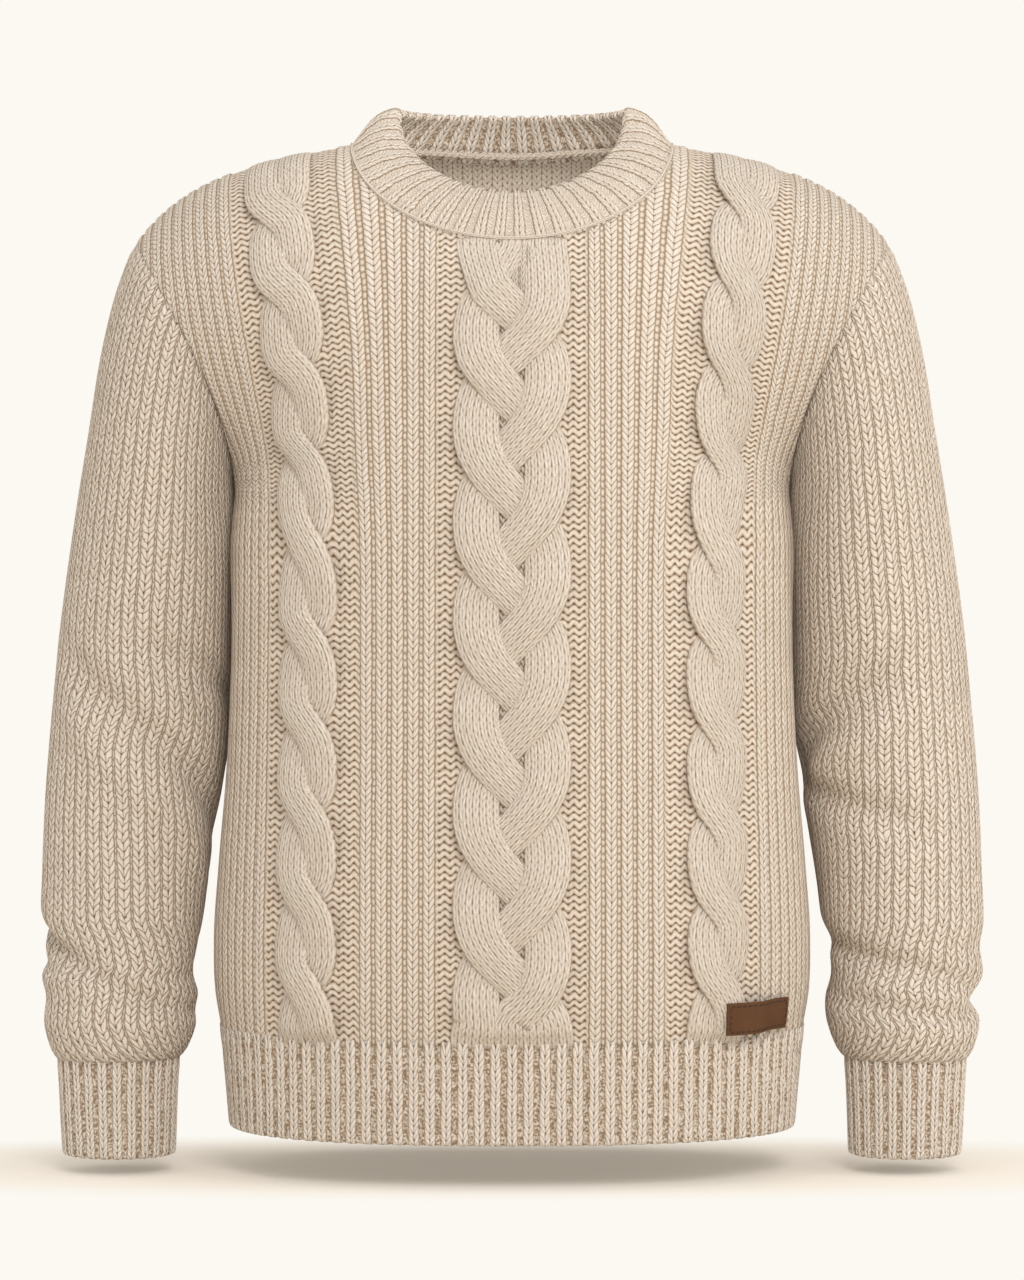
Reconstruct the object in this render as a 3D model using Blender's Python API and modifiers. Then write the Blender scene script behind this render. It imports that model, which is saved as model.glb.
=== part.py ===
"""A crew-neck cable knit sweater, filled out with no wearer.

The garment is two panels, two sleeves, ribbed welts and cuffs, a doubled neckband, a linking chain inside
the back of the neck and a leather patch. Each piece is an open loft through a few sections, given its
thickness by Solidify. The origin is the middle of the neck opening, level with the points where the
shoulder seams meet the neckband. The front faces -Y and +X is the wearer's left. Sizes are in millimetres.
"""

import math
from collections import namedtuple

import bpy
import numpy as np

MM = 0.001

# Walls
cloth = 3.6                 # knitted fabric of the panels and the sleeves
rib_cloth = 4.2             # the tighter rib of the welts and the cuffs
band_cloth = 6.0            # the neckband is folded double
leather = 1.6
seam_gap = 0.3

# Body
panel_half = 262.0          # half the width of a panel, measured round the body
side_seam_y = 3.0
hem_level = -684.0
welt_level = -618.0         # where the welt meets the panels
pit_level = -262.0          # the panels' centre lines, level with the underarm
seam_strip = 3.0            # narrow cells beside a seam, so that the walls meet squarely there
rows_below_pit = 9          # rows of cells from the welt to the underarm
rows_above_pit = 8          # and from the underarm to the shoulder seam

# Neck
neck_half_width = 111.7
neck_front_drop = 77.0
neck_back_reach = 85.0
neck_wale = 97.0            # distance round the panel of the knitted column that meets the neck point
band_top_half_width = 80.5
band_top_side = (6.0, 27.0)      # y and z of the band's top edge over the shoulders
band_top_front = (-86.0, -42.0)
band_top_back = (72.0, 30.0)
band_start = 0.022          # the share of its height left open at the neck seam
band_crown = 2.2            # the band's face is a little rounded
chain_radius = 2.4
chain_ease = 0.4            # room between the chain and the band
chain_lift = 6.0            # how far above the band's edge the chain lies

# Raised cables on the front panel, measured round the panel from its centre
plait_half_width = 42.0
rope_centre = 139.0
rope_half_width = 23.0
cable_rise = 5.0
shoulder_fade = 16.0        # they sink into the seams over these lengths
welt_fade = 8.0

# Patch
patch_width, patch_height = 50.0, 21.0
patch_start = 138.0         # its near edge, measured round the panel
patch_level = -599.0

TorsoRow = namedtuple("TorsoRow", "height depth half_width squareness turn droop roll splay")
# height and depth: the panel's centre line. turn: how much of a quarter turn the section makes by the
# panel's edge, in degrees. droop: the power by which it falls away to the edge, and roll the share of that
# fall which comes only at the very edge. splay: how far the knitted columns lean out. Above the underarm
# the armhole gives the edge.
front_rows = [
    TorsoRow(hem_level, -131.0, 196.5, 2.35, 90.0, 2.0, 0.0, 0.00),
    TorsoRow(-650.0, -134.0, 199.5, 2.35, 90.0, 2.0, 0.0, 0.00),
    TorsoRow(welt_level, -137.0, 202.5, 2.35, 90.0, 2.0, 0.0, 0.00),
    TorsoRow(-590.0, -142.0, 207.0, 2.35, 90.0, 2.0, 0.0, 0.00),
    TorsoRow(-556.0, -143.0, 208.0, 2.35, 90.0, 2.0, 0.0, 0.00),
    TorsoRow(-500.0, -140.0, 204.5, 2.35, 90.0, 2.0, 0.0, 0.00),
    TorsoRow(-440.0, -136.0, 199.5, 2.35, 90.0, 2.0, 0.0, 0.00),
    TorsoRow(-380.0, -133.0, 196.5, 2.35, 90.0, 2.0, 0.0, 0.00),
    TorsoRow(-320.0, -132.0, 195.0, 2.35, 90.0, 2.0, 0.0, 0.00),
    TorsoRow(-288.0, -132.0, 194.7, 2.33, 90.0, 2.0, 0.0, 0.00),
    TorsoRow(pit_level, -132.0, 192.0, 2.30, 90.0, 2.0, 0.0, 0.01),
    TorsoRow(-205.0, -130.0, 190.0, 2.20, 66.0, 2.0, 0.0, 0.03),
    TorsoRow(-150.0, -125.0, 190.0, 2.10, 56.0, 2.0, 0.0, 0.06),
    TorsoRow(-95.0, -113.0, 190.0, 2.05, 52.0, 2.0, 0.1, 0.09),
    TorsoRow(-44.0, -84.0, 190.0, 2.00, 50.0, 2.1, 0.3, 0.12),
    TorsoRow(-8.0, -46.0, 190.0, 2.00, 50.0, 2.2, 0.38, 0.13),
    TorsoRow(4.6, -16.0, 190.0, 2.00, 50.0, 2.2, 0.38, 0.13),
    TorsoRow(6.0, 0.0, 190.0, 2.00, 50.0, 2.2, 0.38, 0.13),
]
back_rows = [
    TorsoRow(hem_level, 120.0, 196.5, 2.25, 90.0, 2.0, 0.0, 0.00),
    TorsoRow(-650.0, 123.0, 199.5, 2.25, 90.0, 2.0, 0.0, 0.00),
    TorsoRow(welt_level, 126.0, 202.5, 2.25, 90.0, 2.0, 0.0, 0.00),
    TorsoRow(-590.0, 130.0, 207.0, 2.25, 90.0, 2.0, 0.0, 0.00),
    TorsoRow(-556.0, 129.0, 208.0, 2.25, 90.0, 2.0, 0.0, 0.00),
    TorsoRow(-500.0, 123.0, 204.5, 2.25, 90.0, 2.0, 0.0, 0.00),
    TorsoRow(-440.0, 117.0, 199.5, 2.25, 90.0, 2.0, 0.0, 0.00),
    TorsoRow(-380.0, 115.0, 196.5, 2.25, 90.0, 2.0, 0.0, 0.00),
    TorsoRow(-320.0, 119.0, 195.0, 2.25, 90.0, 2.0, 0.0, 0.00),
    TorsoRow(-288.0, 122.5, 194.7, 2.25, 90.0, 2.0, 0.0, 0.00),
    TorsoRow(pit_level, 126.0, 192.0, 2.25, 90.0, 2.0, 0.0, 0.00),
    TorsoRow(-205.0, 131.0, 190.0, 2.15, 68.0, 2.0, 0.0, 0.02),
    TorsoRow(-150.0, 131.0, 190.0, 2.10, 60.0, 2.0, 0.0, 0.04),
    TorsoRow(-95.0, 124.0, 190.0, 2.05, 55.0, 2.0, 0.1, 0.07),
    TorsoRow(-42.0, 108.0, 190.0, 2.00, 52.0, 2.1, 0.3, 0.10),
    TorsoRow(-2.0, 86.0, 190.0, 2.00, 50.0, 2.2, 0.38, 0.12),
    TorsoRow(9.0, 48.0, 190.0, 2.00, 50.0, 2.2, 0.38, 0.13),
    TorsoRow(7.4, 16.0, 190.0, 2.00, 50.0, 2.2, 0.38, 0.13),
    TorsoRow(6.0, 0.0, 190.0, 2.00, 50.0, 2.2, 0.38, 0.13),
]
pit_row = 10                # the row at the underarm, in both tables

SleeveRow = namedtuple("SleeveRow", "outer_x outer_z inner_x inner_z half_depth centre_y egg bow")
# The outer and the inner point of each ring, its half depth front to back, and how much it keeps of the
# armhole's egg shape and of its lean towards the chest. The first row is the armhole itself, from the
# shoulder tip down to the underarm.
sleeve_rows = [
    SleeveRow(262.0, -69.0, 192.0, -246.0, 67.0, 3.0, 1.0, 11.0),
    SleeveRow(268.0, -80.0, 194.8, -250.0, 68.0, 4.0, 0.9, 10.0),
    SleeveRow(279.0, -110.0, 195.2, -263.0, 70.0, 8.0, 0.6, 7.0),
    SleeveRow(289.0, -152.0, 195.6, -280.0, 72.0, 12.0, 0.3, 3.0),
    SleeveRow(297.0, -200.0, 196.0, -303.0, 73.0, 16.0, 0.1, 0.0),
    SleeveRow(305.5, -250.0, 196.3, -329.0, 72.0, 19.0, 0.0, 0.0),
    SleeveRow(313.0, -300.0, 196.5, -358.0, 70.0, 21.0, 0.0, 0.0),
    SleeveRow(318.5, -342.0, 196.8, -382.0, 67.0, 22.0, 0.0, 0.0),
    SleeveRow(321.5, -374.0, 197.5, -402.0, 65.0, 21.5, 0.0, 0.0),
    SleeveRow(324.0, -402.0, 199.0, -420.0, 63.5, 20.0, 0.0, 0.0),
    SleeveRow(326.0, -428.0, 202.0, -438.0, 62.0, 18.0, 0.0, 0.0),
    SleeveRow(327.5, -453.0, 205.0, -458.0, 61.0, 15.5, 0.0, 0.0),
    SleeveRow(328.5, -480.0, 208.5, -482.0, 59.5, 12.0, 0.0, 0.0),
    SleeveRow(329.0, -512.0, 213.0, -512.0, 57.0, 7.0, 0.0, 0.0),
    SleeveRow(329.5, -542.0, 216.5, -542.0, 55.0, 2.0, 0.0, 0.0),
    SleeveRow(326.5, -560.0, 220.0, -562.0, 52.5, -1.0, 0.0, 0.0),
    SleeveRow(328.5, -578.0, 223.0, -579.0, 54.0, -4.0, 0.0, 0.0),
    SleeveRow(324.5, -594.0, 219.0, -595.0, 53.5, -7.0, 0.0, 0.0),
    SleeveRow(325.5, -612.0, 220.0, -612.0, 52.0, -10.0, 0.0, 0.0),
    SleeveRow(321.0, -629.0, 226.0, -629.0, 46.0, -13.0, 0.0, 0.0),
    SleeveRow(315.5, -638.0, 232.0, -637.0, 39.5, -15.0, 0.0, 0.0),
]
cuff_rows = [
    SleeveRow(315.0, -638.4, 232.5, -637.4, 39.0, -15.0, 0.0, 0.0),
    SleeveRow(313.5, -660.0, 233.5, -660.0, 36.0, -18.0, 0.0, 0.0),
    SleeveRow(312.0, -683.0, 234.0, -683.0, 34.5, -21.0, 0.0, 0.0),
    SleeveRow(310.5, -702.5, 234.5, -702.5, 34.0, -23.0, 0.0, 0.0),
]

Crease = namedtuple("Crease", "from_turn from_level to_turn to_level depth width")
# Troughs in a sleeve. A turn is an angle round the sleeve: 0 outside, 90 in front, 180 beside the body.
creases = {
    "right": [
        Crease(-40.0, -540.0, 135.0, -598.0, 7.0, 10.0),
        Crease(-30.0, -604.0, 35.0, -598.0, 3.5, 8.0),
        Crease(95.0, -362.0, 200.0, -412.0, 6.0, 15.0),
        Crease(70.0, -405.0, 175.0, -462.0, 4.5, 13.0),
        Crease(200.0, -566.0, 320.0, -590.0, 5.5, 11.0),
    ],
    "left": [
        Crease(85.0, -366.0, 200.0, -432.0, 9.0, 14.0),
        Crease(88.0, -480.0, 200.0, -458.0, 5.0, 12.0),
        Crease(105.0, -552.0, 190.0, -586.0, 6.0, 10.0),
        Crease(-40.0, -590.0, 70.0, -572.0, 6.0, 9.0),
        Crease(55.0, -592.0, 115.0, -592.0, 4.0, 9.0),
        Crease(190.0, -560.0, 310.0, -588.0, 5.5, 11.0),
    ],
}

Finish = namedtuple("Finish", "colour roughness metallic")
oatmeal_wool = Finish((0.66, 0.56, 0.45, 1.0), 0.92, 0.0)
brown_leather = Finish((0.13, 0.06, 0.03, 1.0), 0.55, 0.0)


def clear_scene():
    for old in list(bpy.data.objects):
        bpy.data.objects.remove(old, do_unlink=True)


def finish_material(name, finish):
    material = bpy.data.materials.new(name)
    material.use_nodes = True
    shader = material.node_tree.nodes["Principled BSDF"]
    shader.inputs["Base Color"].default_value = finish.colour
    shader.inputs["Roughness"].default_value = finish.roughness
    shader.inputs["Metallic"].default_value = finish.metallic
    material.diffuse_color = finish.colour
    return material


def smooth_between(rows, knots, place):
    """Each column of the table at one place along the knots, on a curve through every row."""
    table = np.array(rows, dtype=float)
    knots = np.asarray(knots, dtype=float)
    slopes = np.gradient(table, knots, axis=0)
    last = len(knots) - 2
    k = int(np.clip(np.searchsorted(knots, place, side="right") - 1, 0, last))
    span = knots[k + 1] - knots[k]
    t = (place - knots[k]) / span
    ease_in = t * t * (3.0 - 2.0 * t)
    out = (t * t * t - 2.0 * t * t + t) * span
    back = (t * t * t - t * t) * span
    return table[k] * (1.0 - ease_in) + table[k + 1] * ease_in + slopes[k] * out + slopes[k + 1] * back


def chord_knots(points):
    steps = np.linalg.norm(np.diff(np.asarray(points, dtype=float), axis=0), axis=1)
    return np.concatenate([[0.0], np.cumsum(steps)])


def ring_point(row, turn):
    """A point of a sleeve ring. At no turn it is the outer point, and at half a turn the inner one."""
    outer = np.array([row.outer_x, row.outer_z])
    inner = np.array([row.inner_x, row.inner_z])
    reach = (outer - inner) / 2.0
    to_chest = np.array([-abs(reach[1]), reach[0]]) / np.linalg.norm(reach)
    lean = row.bow * math.sin(turn) ** 2 * (1.0 - 0.45 * math.cos(turn))
    flat = (outer + inner) / 2.0 + reach * math.cos(turn) + to_chest * lean
    egg_width = 1.3 * abs(math.cos(turn / 2.0)) ** 0.8
    width = row.half_depth * ((1.0 - row.egg) + row.egg * egg_width)
    return np.array([flat[0], row.centre_y - width * math.sin(turn), flat[1]])


def armhole_turn(share):
    """The turn at a share of the way up the front of the armhole, from the underarm to the shoulder tip."""
    turns = np.linspace(math.pi, 0.0, 400)
    along = chord_knots([ring_point(sleeve_rows[0], turn) for turn in turns])
    return np.interp(share * along[-1], along, turns)


def rise_places(rows):
    """Places above the underarm where a panel has points, as shares of the way to the shoulder seam."""
    knots = panel_knots(rows)
    strip = seam_strip / (knots[-1] - knots[pit_row])
    return np.append(np.linspace(0.0, 1.0, rows_above_pit + 1)[:-1], [1.0 - strip, 1.0])


def panel_knots(rows):
    return chord_knots([(row.depth, row.height) for row in rows])


def place_at(rows, level):
    """The place along the knots of a level below the underarm."""
    return np.interp(level, [row.height for row in rows[:pit_row + 1]], panel_knots(rows)[:pit_row + 1])


def panel_edge(rows, knots, place, row):
    """The panel's edge at +X: the side seam below the underarm and the armhole above it."""
    pit = knots[pit_row]
    if place > pit:
        turn = armhole_turn((place - pit) / (knots[-1] - pit))
        return ring_point(sleeve_rows[0], turn if rows is front_rows else -turn)
    share = max(0.0, 1.0 - (pit - place) / (pit - knots[pit_row - 2]))
    lift = (sleeve_rows[0].inner_z - pit_level) * share * share * (3.0 - 2.0 * share)
    return np.array([row.half_width, side_seam_y, row.height + lift])


def panel_section(rows, knots, place):
    """A function from the distance round the panel to a point of the section at this place."""
    row = TorsoRow(*smooth_between(rows, knots, place))
    edge = panel_edge(rows, knots, place, row)
    power = 2.0 / row.squareness
    turns = np.linspace(0.0, math.radians(min(row.turn, 90.0)), 121)
    across = (np.sin(turns) / math.sin(turns[-1])) ** power
    inset = 1.0 - np.clip(np.cos(turns), 0.0, 1.0) ** power
    fall = (1.0 - row.roll) * across ** row.droop + row.roll * across ** 9
    curve = np.column_stack([
        edge[0] * across,
        row.depth + (edge[1] - row.depth) * inset / inset[-1],
        row.height + (edge[2] - row.height) * fall,
    ])
    along = chord_knots(curve)

    def at(distance):
        share = abs(distance) / panel_half
        share += row.splay * share * (1.0 - share)
        point = np.array([np.interp(share * along[-1], along, curve[:, axis]) for axis in range(3)])
        point[0] = math.copysign(point[0], distance)
        return point

    return at


def in_neck(rows, point):
    """True for a point of the panel that would lie inside the neck opening."""
    if rows is back_rows:
        return math.hypot(point[0] / neck_half_width, point[1] / neck_back_reach) < 1.0
    return math.hypot(point[0] / neck_half_width, min(0.0, point[2]) / neck_front_drop) < 1.0


def column_end(rows, knots, distance):
    """How far up a knitted column runs before it meets the neckline."""
    low, high = knots[pit_row], knots[-1]
    while high - low > 0.001:
        middle = (low + high) / 2.0
        if in_neck(rows, panel_section(rows, knots, middle)(distance)):
            high = middle
        else:
            low = middle
    return low


def neckline_distance(rows, knots, place):
    """How far round the panel the neckline lies at this place beside the neck."""
    section = panel_section(rows, knots, place)
    low, high = 0.0, neck_wale
    while high - low > 0.001:
        middle = (low + high) / 2.0
        if in_neck(rows, section(middle)):
            low = middle
        else:
            high = middle
    return low


def panel_columns(rows):
    """Distances round the panel of its lines of points."""
    if rows is front_rows:
        rope_start = rope_centre - rope_half_width
        half = [0.7 * plait_half_width, plait_half_width, 56.0, 70.0, 82.0, neck_wale, rope_start]
        half += [rope_start + 0.5 * rope_half_width, rope_centre + 0.5 * rope_half_width]
        half += [rope_centre + rope_half_width, 192.0, 220.0, 243.0]
    else:
        half = [18.0, 36.0, 52.0, 66.0, neck_wale, 124.0, 152.0, 180.0, 207.0, 233.0]
    half += [panel_half - seam_strip, panel_half - seam_gap]
    return [-distance for distance in reversed(half)] + [0.0] + half


def normal_at(grid, row, column):
    """The direction out of a grid of points whose rows run towards +X and rise."""
    rows, columns = grid.shape[:2]
    up = grid[min(row + 1, rows - 1), column] - grid[max(row - 1, 0), column]
    across = grid[row, min(column + 1, columns - 1)] - grid[row, max(column - 1, 0)]
    direction = np.cross(across, up)
    return direction / np.linalg.norm(direction)


def panel_grid(rows, columns):
    """Points of a panel from the welt up. Lines inside the neck point stop at the neckline's row."""
    knots = panel_knots(rows)
    start = place_at(rows, welt_level) + seam_gap / 2.0
    pit = knots[pit_row]
    below = np.linspace(start, pit, rows_below_pit + 1)[:-1]
    above = pit + (knots[-1] - pit) * rise_places(rows)
    above[-1] -= seam_gap / 2.0
    places = np.concatenate([[start, start + seam_strip, start + welt_fade], below[1:], above])
    anchor = knots[pit_row - 3]
    neck_row = len(places) - 1 - neck_rows(rows)
    grid = np.zeros((len(places), len(columns), 3))
    for c, column in enumerate(columns):
        distance = abs(column)
        top = column_end(rows, knots, distance) if distance < neck_wale else places[neck_row]
        for r, place in enumerate(places):
            share = max(0.0, (place - anchor) / (places[neck_row] - anchor))
            here = distance
            if distance < neck_wale and share > 0.0:
                place = anchor + min(share, 1.0) * (top - anchor)
            if distance == neck_wale and place < places[-1]:
                side = neckline_distance(rows, knots, max(place, places[neck_row]))
                here += (side - distance) * min(share, 1.0)
            grid[r, c] = panel_section(rows, knots, place)(math.copysign(here, column))
    return grid


def neck_rows(rows):
    """How many rows of a panel run into the side of the neckline."""
    return 3 if rows is front_rows else 2


def neck_notch(rows, grid, columns):
    """The row of the foot of the neckline and the columns of the two neck points."""
    return len(grid) - 1 - neck_rows(rows), columns.index(-neck_wale), columns.index(neck_wale)


def neck_path(rows, grid, columns):
    """The grid's points along the neckline, from the neck point at -X to the one at +X."""
    foot, first, last = neck_notch(rows, grid, columns)
    beside = range(foot + 1, len(grid))
    path = [(r, first) for r in reversed(beside)]
    path += [(foot, c) for c in range(first, last + 1)]
    path += [(r, last) for r in beside]
    return np.array([grid[r, c] for r, c in path])


def rise_at(distance):
    """How far the plait and the ropes stand out at this distance round the front panel."""
    here = abs(distance)
    from_plait = here / plait_half_width
    from_rope = abs(here - rope_centre) / rope_half_width
    return cable_rise * (1.0 - min(1.0, from_plait, from_rope) ** 4)


def raise_cables(grid, columns):
    raised = grid.copy()
    for c, distance in enumerate(columns):
        along = chord_knots(grid[:, c])
        for r in range(len(grid)):
            fade = min(1.0, along[r] / welt_fade, (along[-1] - along[r]) / shoulder_fade)
            if fade > 0.0:
                raised[r, c] += normal_at(grid, r, c) * rise_at(distance) * fade
    return raised


def loft(name, grid, material, thickness, around=False, flip=False, notch=None):
    """An object whose open surface runs through the rows of the grid, with a wall on its inner side.

    The notch is a row and two columns: the cells above the row and between the columns are left out.
    """
    rows, columns = grid.shape[:2]
    points = grid.reshape(-1, 3)
    cells = columns if around else columns - 1
    faces = []
    for r in range(rows - 1):
        for c in range(cells):
            if notch and r >= notch[0] and notch[1] <= c < notch[2]:
                continue
            nextc = (c + 1) % columns
            cell = [r * columns + c, r * columns + nextc, (r + 1) * columns + nextc, (r + 1) * columns + c]
            # Each cell is cut along its shorter diagonal.
            first, second, third, fourth = points[cell]
            if np.linalg.norm(first - third) > np.linalg.norm(second - fourth):
                cell = cell[1:] + cell[:1]
            if flip:
                cell = cell[::-1]
                cell = cell[1:] + cell[:1]
            faces += [cell[:3], [cell[0], cell[2], cell[3]]]
    used, faces = np.unique(faces, return_inverse=True)
    mesh = bpy.data.meshes.new(name)
    mesh.from_pydata([tuple(point * MM) for point in points[used]], [], faces.reshape(-1, 3).tolist())
    mesh.shade_smooth()
    piece = bpy.data.objects.new(name, mesh)
    piece.data.materials.append(material)
    wall = piece.modifiers.new("Wall", "SOLIDIFY")
    wall.thickness = thickness * MM
    wall.offset = -1.0
    wall.use_even_offset = True
    sweater.objects.link(piece)
    return piece


def crease_depth(side, turn, level):
    """How far a sleeve's surface sinks at this turn and level."""
    depth = 0.0
    for crease in creases[side]:
        middle = (crease.from_turn + crease.to_turn) / 2.0
        offset = (math.degrees(turn) - middle + 180.0) % 360.0 - 180.0
        share = offset / (crease.to_turn - crease.from_turn)
        if abs(share) < 0.75:
            trough = crease.from_level + (crease.to_level - crease.from_level) * (share + 0.5)
            fade = math.cos(math.pi * max(0.0, abs(share) - 0.25)) ** 2
            depth += crease.depth * fade * math.exp(-((level - trough) / crease.width) ** 2)
    return depth


def tube_grid(rows, places, side):
    """Rings of points down a sleeve or a cuff, with a column at each row of the panels' armhole."""
    front_turns = np.array([armhole_turn(share) for share in rise_places(front_rows)])
    turns = np.concatenate([front_turns, -front_turns[-2:0:-1]])
    numbers = np.arange(len(rows))
    grid = np.zeros((len(places), len(turns), 3))
    for r, place in enumerate(places):
        row = SleeveRow(*smooth_between(rows, numbers, place))
        plain = row._replace(bow=0.0)
        middle = (ring_point(plain, 0.0) + ring_point(plain, math.pi)) / 2.0
        for c, turn in enumerate(turns):
            point = ring_point(row, turn)
            inward = (middle - point) / np.linalg.norm(middle - point)
            depth = crease_depth(side, turn, point[2]) if rows is sleeve_rows else 0.0
            grid[r, c] = point + inward * depth
    if side == "right":
        grid[:, :, 0] *= -1.0
    return grid


def leave_seam(grid, gap):
    """Draws the first ring back from the seam line, at right angles to it."""
    seam = grid[0]
    along = np.roll(seam, -1, axis=0) - np.roll(seam, 1, axis=0)
    along /= np.linalg.norm(along, axis=1)[:, None]
    away = grid[1] - seam
    away -= along * np.sum(away * along, axis=1)[:, None]
    away /= np.linalg.norm(away, axis=1)[:, None]
    grid[0] = seam + away * gap
    return grid


def welt_grid(rows, columns):
    """Points of the welt from the hem up to the panel."""
    knots = panel_knots(rows)
    places = [place_at(rows, level) for level in (hem_level, -652.0, welt_level - seam_strip, welt_level)]
    places[-1] -= seam_gap / 2.0
    sections = [panel_section(rows, knots, place) for place in places]
    return np.array([[section(distance) for distance in columns] for section in sections])


def band_top(turn):
    """A point of the band's top edge. The turn goes from one shoulder along the front."""
    x = -band_top_half_width * math.cos(turn)
    end = band_top_front if turn > 0.0 else band_top_back
    y = band_top_side[0] + (end[0] - band_top_side[0]) * abs(math.sin(turn))
    z = band_top_side[1] + (end[1] - band_top_side[1]) * abs(math.sin(turn))
    return np.array([x, y, z])


def band_grid(seam):
    """Points of the neckband from the neck seam up to its folded edge."""
    shares = (band_start, 0.36, 0.72, 1.0)
    grid = np.zeros((len(shares), len(seam), 3))
    for c, start in enumerate(seam):
        reach = neck_back_reach if start[1] > 0.0 else -front_rows[-4].depth
        turn = math.atan2(-start[1] / reach, -start[0] / neck_half_width)
        along = band_top(turn) - start
        round_neck = np.array([math.sin(turn), -math.cos(turn), 0.0])
        outward = np.cross(round_neck, along)
        outward /= np.linalg.norm(outward)
        for r, share in enumerate(shares):
            crown = band_crown * math.sin(math.pi * share)
            grid[r, c] = start + along * share + outward * crown
    return grid


def build_chain(band, first, material):
    """A round chain laid against the inside of the band, along the back of the neck."""
    curve = bpy.data.curves.new("neck_tape", "CURVE")
    curve.dimensions = "3D"
    curve.bevel_depth = chain_radius * MM
    curve.bevel_resolution = 1
    curve.use_fill_caps = True
    spline = curve.splines.new("POLY")
    columns = range(first, band.shape[1])
    spline.points.add(len(columns) - 1)
    for knot, c in zip(spline.points, columns):
        upward = band[1, c] - band[0, c]
        upward /= np.linalg.norm(upward)
        round_neck = band[0, (c + 1) % band.shape[1]] - band[0, c - 1]
        inward = np.cross(upward, round_neck)
        inward /= np.linalg.norm(inward) * math.copysign(1.0, -inward[1])
        centre = band[0, c] + upward * chain_lift
        centre += inward * (band_cloth + chain_ease + chain_radius)
        knot.co = (*(centre * MM), 1.0)
    chain = bpy.data.objects.new("neck_tape", curve)
    chain.data.materials.append(material)
    sweater.objects.link(chain)


def patch_grid(panel, columns):
    """Leather laid over the foot of one rope cable, made from the panel's own points moved out."""
    ends = (patch_start, patch_start + patch_width)
    across = [ends[0]] + [distance for distance in columns if ends[0] < distance < ends[1]] + [ends[1]]
    levels = (patch_level - patch_height / 2.0, patch_level + patch_height / 2.0)
    laid = np.zeros((len(levels), len(across), 3))
    for c, distance in enumerate(across):
        column = [[np.interp(distance, columns, row[:, axis]) for axis in range(3)] for row in panel]
        heights = [point[2] for point in column]
        for r, level in enumerate(levels):
            laid[r, c] = [np.interp(level, heights, [point[axis] for point in column]) for axis in range(3)]
    lifted = laid.copy()
    for r in range(len(levels)):
        for c in range(len(across)):
            lifted[r, c] += normal_at(laid, r, c) * (seam_gap + leather)
    return lifted


clear_scene()
sweater = bpy.data.collections.new("cable_knit_sweater")
bpy.context.scene.collection.children.link(sweater)
wool = finish_material("oatmeal_wool", oatmeal_wool)
hide = finish_material("brown_leather", brown_leather)

front_columns = panel_columns(front_rows)
back_columns = panel_columns(back_rows)
front_grid = raise_cables(panel_grid(front_rows, front_columns), front_columns)
back_grid = panel_grid(back_rows, back_columns)
loft("front", front_grid, wool, cloth, notch=neck_notch(front_rows, front_grid, front_columns))
loft("back", back_grid, wool, cloth, flip=True, notch=neck_notch(back_rows, back_grid, back_columns))
loft("hem_front", welt_grid(front_rows, back_columns), wool, rib_cloth)
loft("hem_back", welt_grid(back_rows, back_columns), wool, rib_cloth, flip=True)

sleeve_places = np.insert(np.arange(float(len(sleeve_rows))), 1, 0.35)
cuff_places = [0.0, 0.2, 1.5, 3.0]
for side in ("left", "right"):
    sleeve_grid = leave_seam(tube_grid(sleeve_rows, sleeve_places, side), seam_gap + 0.2)
    loft(f"sleeve_{side}", sleeve_grid, wool, cloth, around=True, flip=side == "left")
    loft(f"cuff_{side}", tube_grid(cuff_rows, cuff_places, side), wool, rib_cloth, around=True,
         flip=side == "left")

front_seam = neck_path(front_rows, front_grid, front_columns)
back_seam = neck_path(back_rows, back_grid, back_columns)[-2:0:-1]
band = band_grid(np.concatenate([front_seam, back_seam]))
loft("neckband", band, wool, band_cloth, around=True)
build_chain(band, len(front_seam), wool)
loft("patch", patch_grid(front_grid, front_columns), hide, leather)
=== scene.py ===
# Cable knit sweater, filled out with no wearer. The knitted pieces are flat or round nets of
# stitches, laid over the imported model. Sizes in the tables are millimetres.
import functools
import math

import bmesh
import bpy
import numpy as np
from mathutils import Matrix, Vector


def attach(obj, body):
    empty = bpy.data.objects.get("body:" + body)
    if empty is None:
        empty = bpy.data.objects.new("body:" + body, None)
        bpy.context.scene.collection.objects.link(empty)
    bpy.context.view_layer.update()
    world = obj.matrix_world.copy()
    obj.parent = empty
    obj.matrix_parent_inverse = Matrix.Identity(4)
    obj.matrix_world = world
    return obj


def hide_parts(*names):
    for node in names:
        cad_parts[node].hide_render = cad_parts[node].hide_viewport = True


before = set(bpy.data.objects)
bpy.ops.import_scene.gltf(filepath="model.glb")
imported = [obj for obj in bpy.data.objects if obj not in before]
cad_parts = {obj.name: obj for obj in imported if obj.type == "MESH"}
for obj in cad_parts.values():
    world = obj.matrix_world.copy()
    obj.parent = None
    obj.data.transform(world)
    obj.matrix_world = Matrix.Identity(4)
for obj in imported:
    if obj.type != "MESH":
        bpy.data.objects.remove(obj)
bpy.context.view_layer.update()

mm = 0.001
deskCollection = bpy.context.scene.collection

# ---- the body's shape: the same rows of the panels and sleeves that the model is lofted through
# height, depth in front, depth behind and half width below the chest
lowRows = (
    (-684, -131, 120, 196.5), (-650, -134, 123, 199.5), (-618, -137, 126, 202.5),
    (-590, -142, 130, 207), (-556, -143, 129, 208), (-500, -140, 123, 204.5),
    (-440, -136, 117, 199.5), (-380, -133, 115, 196.5), (-320, -132, 119, 195),
)
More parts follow.
